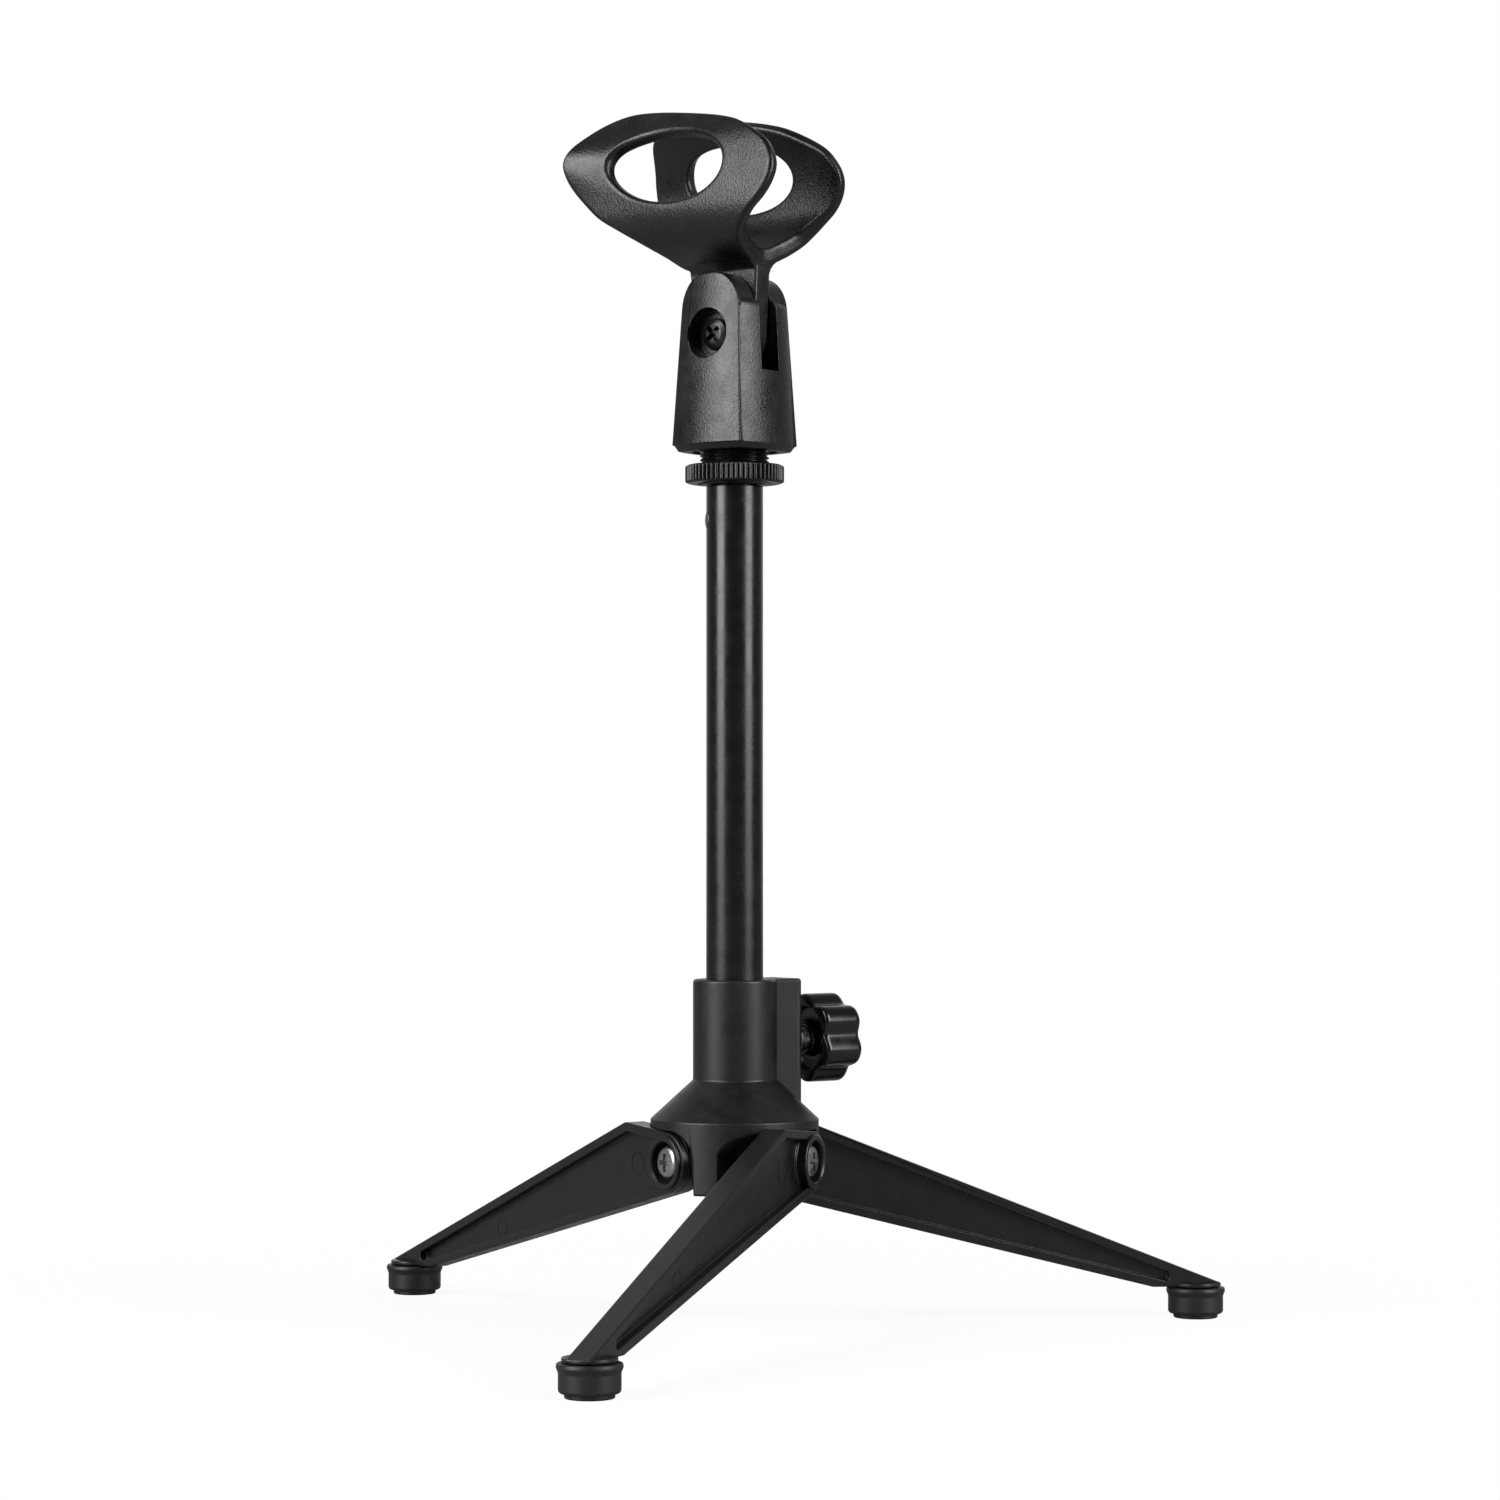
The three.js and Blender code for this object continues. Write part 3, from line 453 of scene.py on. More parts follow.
def hub_pocket(azimuth):
    """The arched hollow that a leg's root turns in."""
    low, far = DRUM_BOTTOM - 5, RIM_R + 6

    def arch(side, reach, width, height):
        curve = [(width * x, height * y) for x, y in arc(0, 0, 1, math.pi / 2, math.pi, 14)]
        corner = [(side + width + x, RIM_BOTTOM - height + y) for x, y in curve]
        return [(side, low), (reach, low), (reach, RIM_BOTTOM), *corner]

    across = moved(slab(arch(POCKET_WALL, far + 1, ARCH_WIDTH, ARCH_HEIGHT), -far - 1, far + 1), about(90))
    pocket = common(slab(arch(-POCKET_SIDE, far, POCKET_CORNER, POCKET_CORNER), POCKET_WALL - 1, far), across)
    core = cylinder(COLLAR_R, low - 1, RIM_BOTTOM + 1, FINE)
    seat = moved(cylinder(BOSS_R - 0.3, 0, SEAT_FACE), ALONG_Y, Matrix.Translation((0, 0, PIVOT_Z)))
    return moved(cut(pocket, core, seat), about(azimuth))


def hub():
    """A drum with a shallow cone, and a collar with the clamp's lug, bored for the tube."""
    drum = lathe(fillet([
        (0, DRUM_BOTTOM), (RIM_R - 0.1, DRUM_BOTTOM, 0.6), (RIM_R, RIM_TOP, 0.45),
        (COLLAR_R - 0.6, CONE_PEAK), (0, CONE_PEAK),
    ], closed=False))
    start = math.asin(LUG_HALF_WIDTH / COLLAR_R)
    lug = [(0, 0), (LUG_END, -LUG_HALF_WIDTH, LUG_CORNER), (LUG_END, LUG_HALF_WIDTH, LUG_CORNER), (0, 0)]
    keyhole = arc(0, 0, COLLAR_R, start, 2 * math.pi - start, 72) + fillet(lug, closed=False)[1:-1]
    collar = bevelled(prism(keyhole, COLLAR_FOOT, COLLAR_TOP), 0.7, 4, 60)
    body = join(drum, moved(collar, about(LUG_AZIMUTH)))
    tools = [hub_pocket(azimuth) for azimuth in LEG_AZIMUTHS]
    for azimuth in LEG_AZIMUTHS:
        hole = cylinder(LEG_INSERT_R, LEG_INSERT_START, SEAT_FACE + 1, TINY)
        tools.append(moved(hole, ALONG_Y, about(azimuth, PIVOT_Z)))
    tools.append(cylinder(BORE_R, DRUM_BOTTOM - 1, COLLAR_TOP + 1, FINE))
    tools.append(moved(cylinder(CLAMP_NUT_R, CLAMP_NUT_START, LUG_END + 1), ALONG_X, AT_CLAMP))
    tools.append(moved(cylinder(CLAMP_STUD_R + CLEARANCE, 4, 12), ALONG_X, AT_CLAMP))
    return bevelled(cut(body, *tools), 0.3)


placed(hub(), "hub_moulding", "hub", ["hub"], HUB)

# ---- Clamp knob and stud ----


def star_radius(angle):
    """Broad round lobes with narrower valleys between them."""
    valley = 0.5 - 0.5 * math.cos(KNOB_LOBES * angle)
    return KNOB_R - KNOB_VALLEY * valley**1.5


def knob():
    """The star, closed at the front and hollow at the back round the stud's boss."""
    sides = KNOB_LOBES * 24
    length = KNOB_FRONT - KNOB_BACK
    bore, boss, deep, hollow = CLAMP_STUD_R + 0.1, KNOB_BOSS_R, KNOB_HOLLOW_DEPTH, KNOB_HOLLOW_R
    back = [
        (KNOB_BORE_DEPTH, 0), (KNOB_BORE_DEPTH, bore), (0.3, bore), (0.0, bore + 0.3),
        (0.0, boss - 0.4), (0.1, boss - 0.15), (0.4, boss),
        (deep - 0.5, boss), (deep - 0.1, boss + 0.2), (deep, boss + 0.6),
        (deep, hollow - 0.7), (deep - 0.4, hollow - 0.2), (0.7, hollow), (0.2, hollow + 0.15),
    ]
    edges = [(0.05, 0.75), (0.2, 0.45), (0.45, 0.2), (0.8, 0.06), (1.2, 0.0)]
    for a in (k * math.pi / 16 for k in reversed(range(9))):
        edges.append((length - KNOB_EDGE_R * (1 - math.cos(a)), KNOB_EDGE_R * (1 - math.sin(a))))
    front = [(length, 6.3), (length - 0.15, 6.0), (length - 0.5, 5.7), (length - 0.5, 3.0), (length - 0.4, 0)]
    loops = [circle(z, radius, sides) for z, radius in back]
    loops += [level_ring(z, lambda angle: star_radius(angle) - inset, sides) for z, inset in edges]
    loops += [circle(z, radius, sides) for z, radius in front]
    return moved(skin(loops), about(KNOB_PHASE, KNOB_BACK), ALONG_X)


def ridge(angle, z, pitch, gain, sink):
    """Height of a helical thread's ridge from 0 to 1, with a flat crest and a flat root."""
    wave = abs(2 * ((z / pitch - angle / (2 * math.pi)) % 1) - 1)
    return min(1, max(0, gain * wave - sink))


def threaded_rod(low, high, radius, pitch, depth, sides=SMALL, rows=8):
    """A round rod with a helical ridge that fades at both ends."""
    loops = [[(0, 0, low)]]
    count = round((high - low) / pitch * rows)
    for i in range(count + 1):
        z = low + (high - low) * i / count
        fade = min(1, (z - low) / pitch, (high - z) / pitch)
        loops.append(level_ring(
            z, lambda angle: radius - depth * (1 - fade * ridge(angle, z, pitch, 1.3, 0.1)), sides))
    loops.append([(0, 0, high)])
    return skin(loops)


def clamp_stud():
    """The clamp's screw, from beside the tube to inside the knob."""
    rod = threaded_rod(TUBE_R + 0.2, KNOB_FRONT - 2.9, CLAMP_STUD_R, CLAMP_PITCH, CLAMP_THREAD_DEPTH)
    return moved(rod, ALONG_X)


placed(knob(), "clamp_knob_star", "clamp_knob", ["clamp_knob"], KNOB, AT_CLAMP, 50)
placed(clamp_stud(), "clamp_stud_rod", "clamp_stud", ["clamp_stud"], STEEL, AT_CLAMP, 60)

# ---- Legs ----

UNDER = tangent_point((SOLE_X, SOLE), ROOT_R, -1)
OVER = tangent_point(HEEL, ROOT_R, 1)


def leg():
    """An I-section bar with a round boss at its root and a peg for the foot cap."""
    outline = arc(0, 0, ROOT_R, OVER[2], UNDER[2] + 2 * math.pi, 40)
    outline += fillet([
        UNDER[:2], (SOLE_X, SOLE, 1.0), (LEG_TIP[0] - 0.3, SOLE), LEG_TIP, (*HEEL, 2.2), OVER[:2],
    ], closed=False)[1:-1]
    top_at = line_at(HEEL, LEG_TIP, -LEG_BORDER)
    under_at = line_at(UNDER, (SOLE_X, SOLE), LEG_BORDER)
    bend = HEEL[0] - 0.6
    recess = fillet([
        (RECESS_START, under_at(RECESS_START)), (RECESS_END, under_at(RECESS_END), 0.8),
        (RECESS_END, top_at(RECESS_END), 0.8), (bend, top_at(bend), 1.2), (RECESS_START, ROOT_R - LEG_BORDER),
    ])
    web, lip = LEG_OUTER - LEG_RECESS, BOSS_R + 0.9
    plate = bevelled(cut(
        slab(outline, LEG_INNER, LEG_OUTER), slab(recess, web, LEG_OUTER + 1),
        slab(recess, LEG_INNER - 1, LEG_INNER + LEG_RECESS),
    ), 0.28)
    boss = moved(lathe(fillet([
        (0, BOSS_BACK), (BOSS_R, BOSS_BACK, 0.3), (BOSS_R, web - 0.5), (lip, web - 0.5),
        (lip, web + 0.35, 0.3), (BOSS_R, web + 0.35, 0.25), (BOSS_R, BOSS_FACE, 0.35), (0, BOSS_FACE),
    ], closed=False), MEDIUM), ALONG_Y)
    peg = moved(lathe(fillet([
        (0, PEG_BOTTOM), (PEG_R, PEG_BOTTOM), (PEG_R, SOLE - 0.1), (PEG_FLANGE_R, SOLE - 0.1, 0.25),
        (PEG_FLANGE_R, SOLE + 0.8, 0.25), (0, SOLE + 0.8),
    ], closed=False), MEDIUM), ON_PEG)
    seat = moved(lathe([
        (0, COUNTERBORE_FLOOR), (COUNTERBORE_R, COUNTERBORE_FLOOR), (COUNTERBORE_R, BOSS_FACE - 0.35),
        (COUNTERBORE_R + 0.35, BOSS_FACE + 0.05), (COUNTERBORE_R + 0.35, BOSS_FACE + 1), (0, BOSS_FACE + 1),
    ], MEDIUM), ALONG_Y)
    hole = moved(cylinder(SCREW_R + CLEARANCE, BOSS_BACK - 1, BOSS_FACE, TINY), ALONG_Y)
    notch = cylinder(RIM_R + 0.2, RIM_BOTTOM - 0.3 - PIVOT_Z, 20, FINE)
    marks = []
    for x, z, radius in MOULD_MARKS:
        inside, outside = radius - MARK_HALF_WIDTH, radius + MARK_HALF_WIDTH
        groove = lathe([
            (inside, web - 0.1), (outside, web - 0.1), (outside, LEG_OUTER - 1), (inside, LEG_OUTER - 1),
        ], SMALL, wrap=True)
        marks.append(moved(groove, ALONG_Y, Matrix.Translation((x, 0, z))))
    return cut(join(plate, boss, peg), seat, hole, notch, *marks)


def cross_drive(top, depth, reach, width):
    """A cross-shaped recess that narrows as it goes down."""
    arms = []
    for turned in (0, math.pi / 2):
        loops = [[(0, 0, top - depth)]]
        for z, share in ((top - depth, 0.62), (top + 0.5, 1.0)):
            x, y = reach / 2 * share, width / 2 * (0.75 + 0.25 * share)
            loops.append([(-x, -y, z), (x, -y, z), (x, y, z), (-x, y, z)])
        loops.append([(0, 0, top + 0.5)])
        arms.append(moved(skin(loops), Matrix.Rotation(turned, 4, "Z")))
    return join(*arms)


def leg_screw():
    """A pan-head cross screw."""
    top, under = BOSS_FACE - 0.5, COUNTERBORE_FLOOR + 0.7
    screw = lathe(fillet([
        (0, LEG_SCREW_START), (SCREW_R, LEG_SCREW_START, 0.4), (SCREW_R, under), (HEAD_R, under, 0.25),
        (HEAD_R, top - 0.3, 1.2), (1.2, top, 1.5), (0, top),
    ], closed=False), SMALL)
    return moved(cut(screw, cross_drive(top, 1.7, 4.6, 1.05)), ALONG_Y)


def washer():
    """The ring under a leg screw's head."""
    low, high = COUNTERBORE_FLOOR + 0.1, COUNTERBORE_FLOOR + 0.6
    hole = SCREW_R + CLEARANCE
    ring = [(hole, low), (WASHER_R, low, 0.12), (WASHER_R, high, 0.12), (hole, high)]
    return moved(lathe(fillet(ring), SMALL, wrap=True), ALONG_Y)


def foot_cap():
    """A turned rubber cap with a soft lower edge and a shallow groove under its lip."""
    bottom = CAP_BOTTOM
    return lathe(fillet([
        (0, bottom + 1.4), (PAD_R + 0.2, bottom + 1.4), (PAD_R + 0.2, bottom, 0.2),
        (CAP_WAIST_R, bottom, 0.8), (CAP_WAIST_R, CAP_TOP - 2.0, 1.2),
        (CAP_R, CAP_TOP - 0.9, 0.4), (CAP_R - 0.1, CAP_TOP, 0.45),
        (PEG_R + 0.2, CAP_TOP, 0.2), (PEG_R + 0.2, bottom + 2.2), (0, bottom + 2.2),
    ], closed=False), MEDIUM)


def foot_pad():
    """The flat disc that stands on the desk."""
    top = CAP_BOTTOM + 1.1
    return lathe(fillet([(0, 0), (PAD_R, 0, 0.35), (PAD_R, top, 0.2), (0, top)], closed=False), 64)


for number, azimuth in enumerate(LEG_AZIMUTHS, 1):
    at_pivot = about(azimuth, PIVOT_Z)
    at_foot = about(azimuth) @ ON_PEG
    for make, name, node, body, slot, material, where in (
        (leg, "leg_moulding", "leg", f"leg_{number}", "leg_plastic", LEG, at_pivot),
        (foot_cap, "foot_cap_rubber", "foot_cap", f"leg_{number}", "foot_rubber", RUBBER, at_foot),
        (foot_pad, "foot_pad_rubber", "foot_pad", f"leg_{number}", "foot_rubber", RUBBER, at_foot),
        (leg_screw, "leg_screw_cross", "leg_screw", "hub", "bright_steel", STEEL, at_pivot),
        (washer, "leg_washer_ring", "leg_washer", "hub", "bright_steel", STEEL, at_pivot),
    ):
        placed(make(), f"{name}_{number}", body, [f"{node}_{number}"], material, where)

# ---- Mast ----


def tube():
    """The painted tube, open at both ends, with a hole for the pin."""
    wall = fillet([
        (TUBE_INNER_R, TUBE_BOTTOM, 0.2), (TUBE_R, TUBE_BOTTOM, 0.3), (TUBE_R, TUBE_TOP, 0.35),
        (TUBE_INNER_R, TUBE_TOP, 0.2),
    ], steps=4)
    hole = moved(cylinder(PIN_R + 0.1, 4, 8, TINY), ALONG_X, AT_PIN)
    return cut(lathe(wall, 128, wrap=True), hole)


def tube_plug():
    """The stopper in the tube's lower end."""
    inside, outside = TUBE_INNER_R - 0.1, TUBE_R - 0.1
    return lathe(fillet([
        (0, TUBE_BOTTOM - 1.5), (outside, TUBE_BOTTOM - 1.5, 0.5), (outside, TUBE_BOTTOM - 0.1),
        (inside, TUBE_BOTTOM - 0.1), (inside, TUBE_BOTTOM + 8, 0.4), (0, TUBE_BOTTOM + 8),
    ], closed=False))


def thread_stud():
    """A plain shank inside the tube and a fine thread with its real helix above it."""
    sides, rows = MEDIUM, 8
    shank, core = TUBE_INNER_R - 0.1, THREAD_R - THREAD_DEPTH
    low, high = TUBE_TOP + 0.2, STUD_TOP - 0.5
    ends = [(SHANK_BOTTOM, 0), (SHANK_BOTTOM, shank - 0.4), (SHANK_BOTTOM + 0.4, shank), (low, shank)]
    loops = [circle(z, radius, sides) for z, radius in ends]
    count = round((high - low) / THREAD_PITCH * rows)
    for i in range(count + 1):
        z = low + (high - low) * i / count
        depth = THREAD_DEPTH * min(1, (z - low) / 0.5, (high - z) / 0.9)
        loops.append(level_ring(
            z, lambda angle: core + depth * ridge(angle, z, THREAD_PITCH, 1.25, 0.12), sides))
    loops += [circle(STUD_TOP, core - 0.5, sides), [(0, 0, STUD_TOP)]]
    return skin(loops)


def lock_nut():
    """A thin round nut with straight ribs between two chamfers."""
    low, high, bore, outside = LOCK_NUT_BOTTOM, LOCK_NUT_TOP, THREAD_R + CLEARANCE, LOCK_NUT_R
    rows = [
        (bore, low + 0.5, 0), (bore + 0.5, low, 0), (outside - 0.9, low, 0), (outside - 0.6, low + 0.06, 0),
        (outside - 0.12, low + 0.3, 0.8), (outside, low + 0.5, 1), (outside, high - 0.5, 1),
        (outside - 0.12, high - 0.3, 0.8), (outside - 0.6, high - 0.06, 0), (outside - 0.9, high, 0),
        (bore + 0.5, high, 0), (bore, high - 0.5, 0),
    ]

    def ribbed(radius, share):
        return lambda angle: radius - share * RIB_DEPTH * (1 - abs(math.cos(LOCK_NUT_RIBS * angle / 2)))

    sides = LOCK_NUT_RIBS * 6
    return skin([level_ring(z, ribbed(radius, share), sides) for radius, z, share in rows], wrap=True)


def stud_pin():
    """The pin that locks the stud in the tube."""
    end = TUBE_R + 0.1
    profile = [(0, PIN_START), (PIN_R, PIN_START, 0.2), (PIN_R, end, 0.35), (0, end)]
    return moved(lathe(fillet(profile, closed=False), 40), ALONG_X, AT_PIN)


placed(tube(), "mast_tube", "mast", ["tube"], PAINT)
placed(tube_plug(), "mast_plug", "mast", ["tube_plug"], HUB)
placed(thread_stud(), "mast_thread", "mast", ["thread_stud"], BLACK_STEEL, smooth=60)
placed(stud_pin(), "mast_pin", "mast", ["stud_pin"], DULL_STEEL)
placed(lock_nut(), "lock_nut_ribbed", "lock_nut", ["lock_nut"], BLACK_STEEL, smooth=60)

# ---- Clip base ----


def side_reach(angle, z, inset):
    """Distance from the axis to an ear's bulging outer face."""
    face = SIDE_Y - SIDE_TAPER * (z - BASE_RIM_Z) - inset
    across = abs(math.sin(angle))
    bulge = math.cos(angle) ** 2 / (2 * SIDE_CURVE_R)
    return 2 * face / (across + math.sqrt(across**2 + 4 * face * bulge))


def core_reach(angle, z, inset):
    """Distance from the axis to the core, whose front and rear faces are part of an ellipse."""
    a = CORE_X - CORE_TAPER * (z - BASE_RIM_Z) - inset
    ellipse = 1 / math.hypot(math.cos(angle) / a, math.sin(angle) / CORE_CURVE_Y)
    return min(ellipse, side_reach(angle, z, inset + CORE_INSET))


def lofted(reach, levels, sides=192):
    """A closed body through level sections, each a height and how far it is drawn in."""
    loops = [level_ring(z, lambda angle: reach(angle, z, inset), sides, 0.5) for z, inset in levels]
    return skin([[(0, 0, levels[0][0])], *loops, [(0, 0, levels[-1][0])]])


def clip_base():
    """A tapered socket with two raised, round-topped ears and a slot between them."""
    levels = [
        (BASE_BOTTOM, 1.3), (BASE_BOTTOM + 0.15, 1.08), (BASE_RIM_Z - 0.15, 0.14), (BASE_RIM_Z + 0.15, 0),
    ]
    for a in (k * math.pi / 20 for k in range(11)):
        levels.append((SHOULDER_Z - SHOULDER_R * (1 - math.sin(a)), SHOULDER_R * (1 - math.cos(a))))
    core = lofted(core_reach, levels)
    sides = lofted(side_reach, [(BASE_RIM_Z, 0), (EAR_TOP - 1, 0), (EAR_TOP - 0.3, 0.3), (EAR_TOP, 1)])
    spring = EAR_TOP - EAR_HALF_WIDTH
    foot = EAR_HALF_WIDTH + EAR_TAPER * (spring - BASE_RIM_Z)
    arch = arc(0, spring, EAR_HALF_WIDTH, 0, math.pi, 40)
    arch += [(-foot, BASE_RIM_Z), (foot, BASE_RIM_Z)]
    ears = common(sides, slab(arch, -PAST, PAST))
    gap = [(-PAST, -SLOT_HALF), (PAST, -SLOT_HALF), (PAST, SLOT_HALF), (-PAST, SLOT_HALF)]
    hexagon = arc(0, 0, TILT_NUT_R, 0, 5 * math.pi / 3, 5)
    tools = [
        prism(gap, SLOT_FLOOR, EAR_TOP + 1),
        cylinder(INSERT_R + 0.1, BASE_BOTTOM - 1, INSERT_TOP, MEDIUM),
        cylinder(THREAD_R + 0.5, INSERT_TOP - 0.5, INSERT_TOP + 1.5),
        moved(cylinder(HEAD_SEAT_R, -PAST, -HEAD_SEAT_Y, MEDIUM), ALONG_Y, AT_TILT),
        moved(cylinder(SCREW_R + CLEARANCE, -PAST, PAST, TINY), ALONG_Y, AT_TILT),
        moved(slab(hexagon, TILT_NUT_Y, PAST), AT_TILT),
    ]
    return bevelled(cut(join(core, ears), *tools), 0.17, 2, 28)


def tilt_screw():
    """A domed cross screw through both ears."""
    under, top = HEAD_SEAT_Y + 0.1, HEAD_SEAT_Y + 2.2
    screw = lathe(fillet([
        (0, TILT_SCREW_END), (SCREW_R, TILT_SCREW_END, 0.4), (SCREW_R, under), (TILT_HEAD_R, under, 0.25),
        (TILT_HEAD_R, top - 0.75, 0.7), (2.2, top - 0.05, 1.5), (0, top),
    ], closed=False), SMALL)
    drive = moved(cross_drive(top, 1.4, 5.0, 1.2), about(TILT_SCREW_TURN))
    return moved(cut(screw, drive), UPRIGHT)


placed(clip_base(), "clip_base_moulding", "clip_base", ["clip_base"], CLIP)
placed(tilt_screw(), "tilt_screw_cross", "clip_base", ["tilt_screw"], BLACK_STEEL, AT_TILT)

# ---- Clip head ----

# The outer skin's section, from the keel up one wing, as (distance from the middle, height above the screw).
SPINE = spline([
    (0, 15.6), (2.8, 15.9), (5.8, 17.1), (9.2, 18.9), (12.9, 21.9), (15.3, 27), (15.6, 33), (14.7, 39),
    (12.6, 44.5), (8.9, 49.6), (6.5, 53.6),
], 24, first=(-2.8, 15.9))
SPINE_LENGTH = lengths_along(SPINE)
SPINE_Z = [p.y for p in SPINE]
SPINE_TANGENT = [Vector((1, 0))]
for i in range(1, len(SPINE)):
    SPINE_TANGENT.append((SPINE[min(i + 1, len(SPINE) - 1)] - SPINE[i - 1]).normalized())

# The wing's edge, from the keel's front corner over the top to its rear corner, as (x, height).
EDGE_KNOTS = [
    (9.4, 17.5), (11.7, 21.2), (14.8, 24.8), (18.6, 28.4), (21.1, 32), (21.9, 35.7), (20.7, 39.3),
    (17.4, 43.2), (9.8, 47.5), (3.5, 49.5), (-5.5, 51.1), (-17, 52.5), (-25, 52.5), (-31.3, 50.3),
    (-34.9, 46.8), (-36.7, 43.2), (-36.9, 39.4), (-34.7, 34), (-29, 28.1), (-23.4, 24.4), (-18, 21),
    (-14.2, 18),
]
KEEL_FRONT, KEEL_REAR = Vector((8.5, 15.6)), Vector((-12.4, 15.6))
EDGE_STEPS, KEEL_STEPS, SKIN_ROWS = 168, 28, 22  # columns along the edge and the keel, rows across the wall


def wing_point(x, length, depth):
    """A point of the wing, from its place along the clip, along the section and below the outer skin."""
    at = interpolated(length, SPINE_LENGTH, SPINE)
    along = interpolated(length, SPINE_LENGTH, SPINE_TANGENT).normalized()
    deep = depth * (1 + KEEL_EXTRA * (1 - smoothstep(at.y, 18, 34)))
    y, z = at.x - deep * along.y, at.y + deep * along.x
    beyond = x - FLARE_START
    narrower = FRONT_TAPER * max(0, beyond) * smoothstep(z, 18, 42)
    wider = END_FLARE * min(0, beyond) ** 2 * smoothstep(z, 30, 44)
    return x, max(0.0, y) * (1 + wider - narrower), z


def wing_edge():
    """Even steps along the wing's edge, each with the direction into the wall, as (x, length) vectors."""
    path = [KEEL_FRONT, *spline(EDGE_KNOTS, 12), KEEL_REAR]
    flat = [Vector((p.x, interpolated(p.y, SPINE_Z, SPINE_LENGTH))) for p in path]
    lengths = lengths_along(flat)
    even = [interpolated(lengths[-1] * k / EDGE_STEPS, lengths, flat) for k in range(EDGE_STEPS + 1)]
    inward = []
    for k in range(EDGE_STEPS + 1):
        along = even[min(k + 1, EDGE_STEPS)] - even[max(k - 1, 0)]
        inward.append(Vector((-along.y, along.x)).normalized())
    inward[0], inward[-1] = Vector((-1, 0)), Vector((1, 0))
    return list(zip(even, inward))


def rim():
    """The rounded edge of the wall as (distance from the edge, depth) pairs, from outer to inner skin."""
    turns = [k * math.pi / 10 for k in range(6)]
    outer = [(RIM_OUTER_R * (1 - math.sin(a)), RIM_OUTER_R * (1 - math.cos(a))) for a in turns]
    inner = [(RIM_INNER_R * (1 - math.sin(a)), WALL - RIM_INNER_R * (1 - math.cos(a))) for a in turns]
    return outer + inner[::-1]


def wings():
    """Both wings as one closed shell: each is a ring of wall round its window, and they meet at the keel."""
    low = interpolated(WINDOW_LOW, SPINE_Z, SPINE_LENGTH)
    high = interpolated(WINDOW_HIGH, SPINE_Z, SPINE_LENGTH)
    centre = Vector((WINDOW_X, (low + high) / 2))
    half_height = (high - low) / 2
    level = Matrix.Rotation(-WINDOW_SLOPE, 2)
    sloped = Matrix.Rotation(WINDOW_SLOPE, 2)
    edge = wing_edge()
    front, rear, no_way = edge[0][0].x, edge[-1][0].x, Vector((0, 0))
    keel = [(Vector((rear + (front - rear) * k / KEEL_STEPS, 0)), no_way) for k in range(1, KEEL_STEPS)]
    rounding = rim()
    outer_inset, inner_inset = rounding[0][0], rounding[-1][0]
    columns = []
    for point, inward in [*edge, *keel]:
        away = level @ (point - centre)
        across = away / math.hypot(away.x / WINDOW_HALF_LENGTH, away.y / half_height)
        hole = centre + sloped @ across
        outward = sloped @ Vector((across.x / WINDOW_HALF_LENGTH**2, across.y / half_height**2)).normalized()
        start_out, end_out = hole + outward * outer_inset, point + inward * outer_inset
        start_in, end_in = hole + outward * inner_inset, point + inward * inner_inset
        column = [(start_out.lerp(end_out, k / SKIN_ROWS), 0) for k in range(SKIN_ROWS)]
        column += [(point + inward * inset, depth) for inset, depth in rounding]
        column += [(end_in.lerp(start_in, k / SKIN_ROWS), WALL) for k in range(1, SKIN_ROWS)]
        column += [(hole + outward * inset, depth) for inset, depth in rounding[:0:-1]]
        columns.append([wing_point(*here, depth) for here, depth in column])
    both = skin(columns, wrap=True)
    shape = bmesh.new()
    shape.from_mesh(both.data)
    flat = [f for f in shape.faces if all(abs(v.co.y) < 1e-4 for v in f.verts)]
    bmesh.ops.delete(shape, geom=flat, context="FACES")
    other = bmesh.ops.duplicate(shape, geom=shape.verts[:] + shape.edges[:] + shape.faces[:])
    for item in other["geom"]:
        if isinstance(item, bmesh.types.BMVert):
            item.co.y = -item.co.y
    bmesh.ops.remove_doubles(shape, verts=shape.verts, dist=1e-3)
    bmesh.ops.recalc_face_normals(shape, faces=shape.faces)
    shape.to_mesh(both.data)
    shape.free()
    return both


def tongue():
    """The flat stem between the ears, with a round eye at the tilt screw."""
    over = tangent_point(STEM_FRONT, TONGUE_R, -1)
    under = tangent_point(STEM_REAR, TONGUE_R, 1)
    outline = arc(0, 0, TONGUE_R, under[2], over[2] + 2 * math.pi, 48)
    outline += [STEM_FRONT, (STEM_REAR[0] - 0.4, STEM_FRONT[1]), STEM_REAR]
    return bevelled(slab(outline, -TONGUE_HALF, TONGUE_HALF), 0.8, 3, 60)


def gusset():
    """The flare where the stem's top spreads into the keel."""
    half = [(1.8, 11.5), (2.2, 13.4), (2.9, 15.0), (3.8, 16.0), (5.0, 16.85)]
    outline = half + [(-y, z) for y, z in reversed(half)]
    return moved(prism(outline, STEM_REAR[0] + 0.5, STEM_FRONT[0] - 0.3), about(90), ALONG_X)


def clip_head():
    """The wings on their stem, drilled for the tilt screw."""
    screw_hole = moved(cylinder(SCREW_R + 0.2, -5, 5, TINY), ALONG_Y)
    return cleaned(cut(join(wings(), tongue(), gusset()), screw_hole))


placed(clip_head(), "clip_head_moulding", "clip_head", ["clip_head"], CLIP, AT_TILT, 40)

# ---- Inner CAD pieces that stay ----

for names, material in (
    (["clamp_nut", "leg_insert_1", "leg_insert_2", "leg_insert_3"], BRASS),
    (["tilt_nut"], STEEL),
    (["thread_insert"], BLACK_STEEL),
):
    for name in names:
        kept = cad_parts[name]
        kept.data.materials.clear()
        kept.data.materials.append(material)

# ---- Floor ----

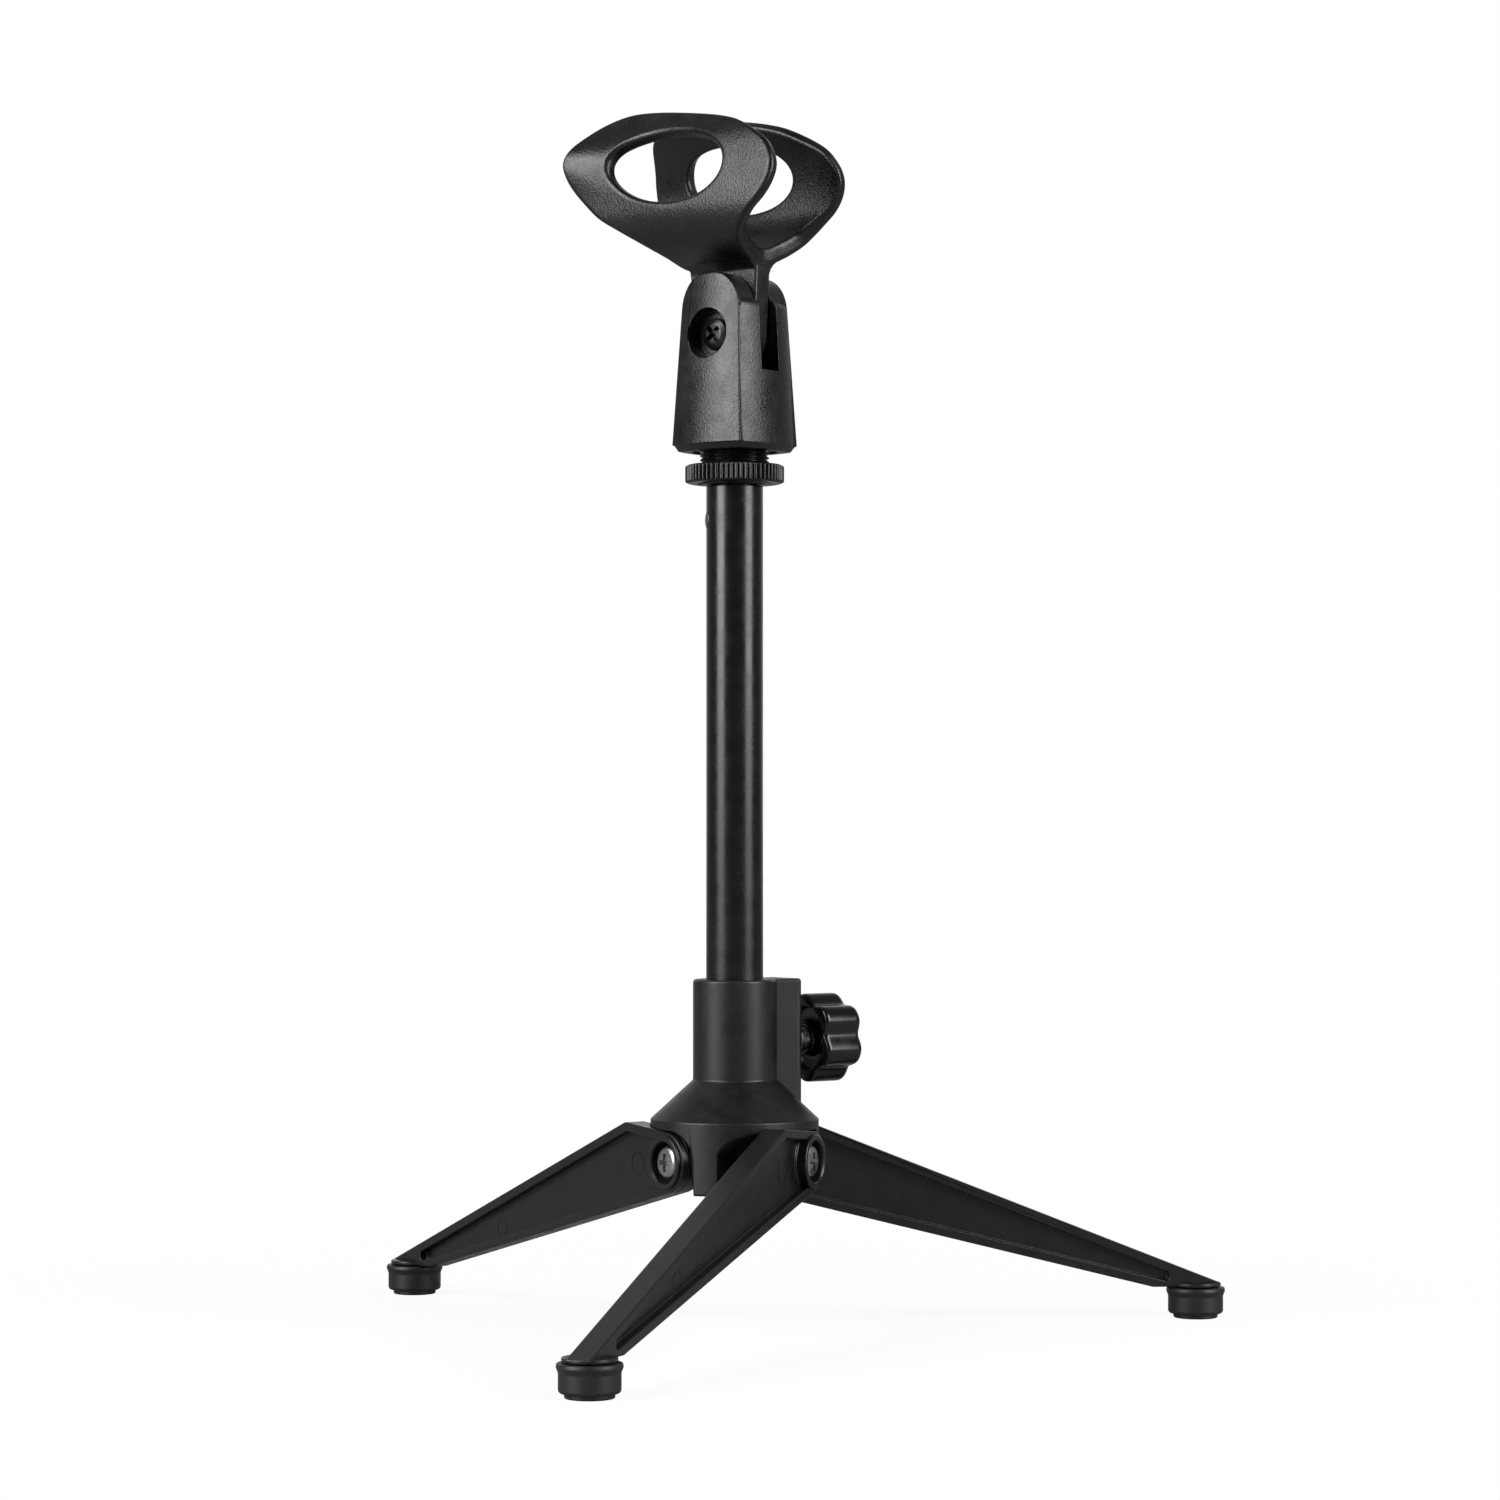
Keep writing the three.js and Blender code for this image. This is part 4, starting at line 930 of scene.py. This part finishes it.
FLOOR_R, FLOOR_THICKNESS = 9.0, 0.01
FLOOR_LIT, FLOOR_SEEN = (0.28, 0.28, 0.28), (0.9, 0.9, 0.9)  # what the light finds, and what the camera finds
GLOW_REACH, GLOW_LOW, GLOW_HIGH = 0.3, 0.88, 1.0  # the share of plain white, rising away from the stand


def floor():
    """A large pale disc under the feet."""
    made = lathe([
        (0, 0), (0.4, 0), (1.0, 0), (3.0, 0), (FLOOR_R, 0),
        (FLOOR_R, -FLOOR_THICKNESS), (0, -FLOOR_THICKNESS),
    ], 64)
    material = bpy.data.materials.new("floor_pale")
    material.use_nodes = True
    tree = material.node_tree
    shader = tree.nodes["Principled BSDF"]
    shader.inputs["Roughness"].default_value = 0.9
    seen = tree.nodes.new("ShaderNodeLightPath").outputs["Is Camera Ray"]
    tree.links.new(mixed(tree, seen, FLOOR_LIT, FLOOR_SEEN), shader.inputs["Base Color"])
    distance = tree.nodes.new("ShaderNodeVectorMath")
    distance.operation = "LENGTH"
    tree.links.new(tree.nodes.new("ShaderNodeTexCoord").outputs["Object"], distance.inputs[0])
    share = ranged(tree, distance.outputs["Value"], 0.0, GLOW_REACH, GLOW_LOW, GLOW_HIGH)
    glow = tree.nodes.new("ShaderNodeMath")
    glow.operation = "MULTIPLY"
    tree.links.new(share, glow.inputs[0])
    tree.links.new(seen, glow.inputs[1])
    white = tree.nodes.new("ShaderNodeEmission")
    white.inputs["Strength"].default_value = 1.0
    mix = tree.nodes.new("ShaderNodeMixShader")
    tree.links.new(glow.outputs["Value"], mix.inputs["Fac"])
    tree.links.new(shader.outputs["BSDF"], mix.inputs[1])
    tree.links.new(white.outputs["Emission"], mix.inputs[2])
    tree.links.new(mix.outputs["Shader"], tree.nodes["Material Output"].inputs["Surface"])
    made.name = "floor"
    made.data.materials.append(material)


floor()

# ---- Light and camera, in metres ----

VIEW_AZIMUTH = math.radians(40)
RIGHT = Vector((math.cos(VIEW_AZIMUTH), math.sin(VIEW_AZIMUTH), 0))
NEAR = Vector((math.sin(VIEW_AZIMUTH), -math.cos(VIEW_AZIMUTH), 0))
AIM_HEIGHT = 0.14
CAMERA_NEAR, CAMERA_RIGHT, CAMERA_HEIGHT = 0.942, 0.0035, 0.1155
LENS_MM, SENSOR_MM, SHIFT_UP = 99.1, 36, 0.0507
SKY_SIDE, SKY_BEHIND = 0.05, 0.4


def softbox(name, angle, distance, height, width, tall, power):
    """A rectangular light at an angle in degrees to the right of the camera's line."""
    turn = math.radians(angle)
    data = bpy.data.lights.new(name, "AREA")
    data.shape = "RECTANGLE"
    data.size = width
    data.size_y = tall
    data.energy = power
    made = bpy.data.objects.new(name, data)
    outward = NEAR * math.cos(turn) + RIGHT * math.sin(turn)
    made.location = MAST + outward * distance + Vector((0, 0, height))
    toward = MAST + Vector((0, 0, AIM_HEIGHT)) - made.location
    made.rotation_euler = toward.to_track_quat("-Z", "Y").to_euler()
    bpy.context.scene.collection.objects.link(made)


softbox("softbox_left", angle=-58, distance=1.4, height=0.78, width=0.85, tall=1.36, power=34)
softbox("softbox_right", angle=60, distance=1.4, height=0.78, width=0.8, tall=1.36, power=27)
softbox("softbox_back", angle=180, distance=1.6, height=0.6, width=2.4, tall=1.2, power=4)

world = bpy.data.worlds.new("studio")
bpy.context.scene.world = world
world.use_nodes = True
sky = world.node_tree
direction = sky.nodes.new("ShaderNodeTexCoord").outputs["Generated"]
behind = sky.nodes.new("ShaderNodeVectorMath")
behind.operation = "DOT_PRODUCT"
behind.inputs[1].default_value = -NEAR
sky.links.new(direction, behind.inputs[0])
level = sky.nodes.new("ShaderNodeMath")
level.operation = "MAXIMUM"
sky.links.new(sky.nodes.new("ShaderNodeLightPath").outputs["Is Camera Ray"], level.inputs[0])
sky.links.new(ranged(sky, behind.outputs["Value"], 0.0, 1.0, SKY_SIDE, SKY_BEHIND), level.inputs[1])
sky.nodes["Background"].inputs["Color"].default_value = (1, 1, 1, 1)
sky.links.new(level.outputs["Value"], sky.nodes["Background"].inputs["Strength"])

camera = bpy.data.objects.new("camera", bpy.data.cameras.new("camera"))
bpy.context.scene.collection.objects.link(camera)
bpy.context.scene.camera = camera
camera.data.lens = LENS_MM
camera.data.sensor_width = SENSOR_MM
camera.data.shift_y = SHIFT_UP
camera.data.clip_start = 0.01
camera.location = MAST + NEAR * CAMERA_NEAR + RIGHT * CAMERA_RIGHT + Vector((0, 0, CAMERA_HEIGHT))
camera.rotation_euler = (-NEAR).to_track_quat("-Z", "Y").to_euler()
bpy.context.scene.view_settings.view_transform = "Standard"
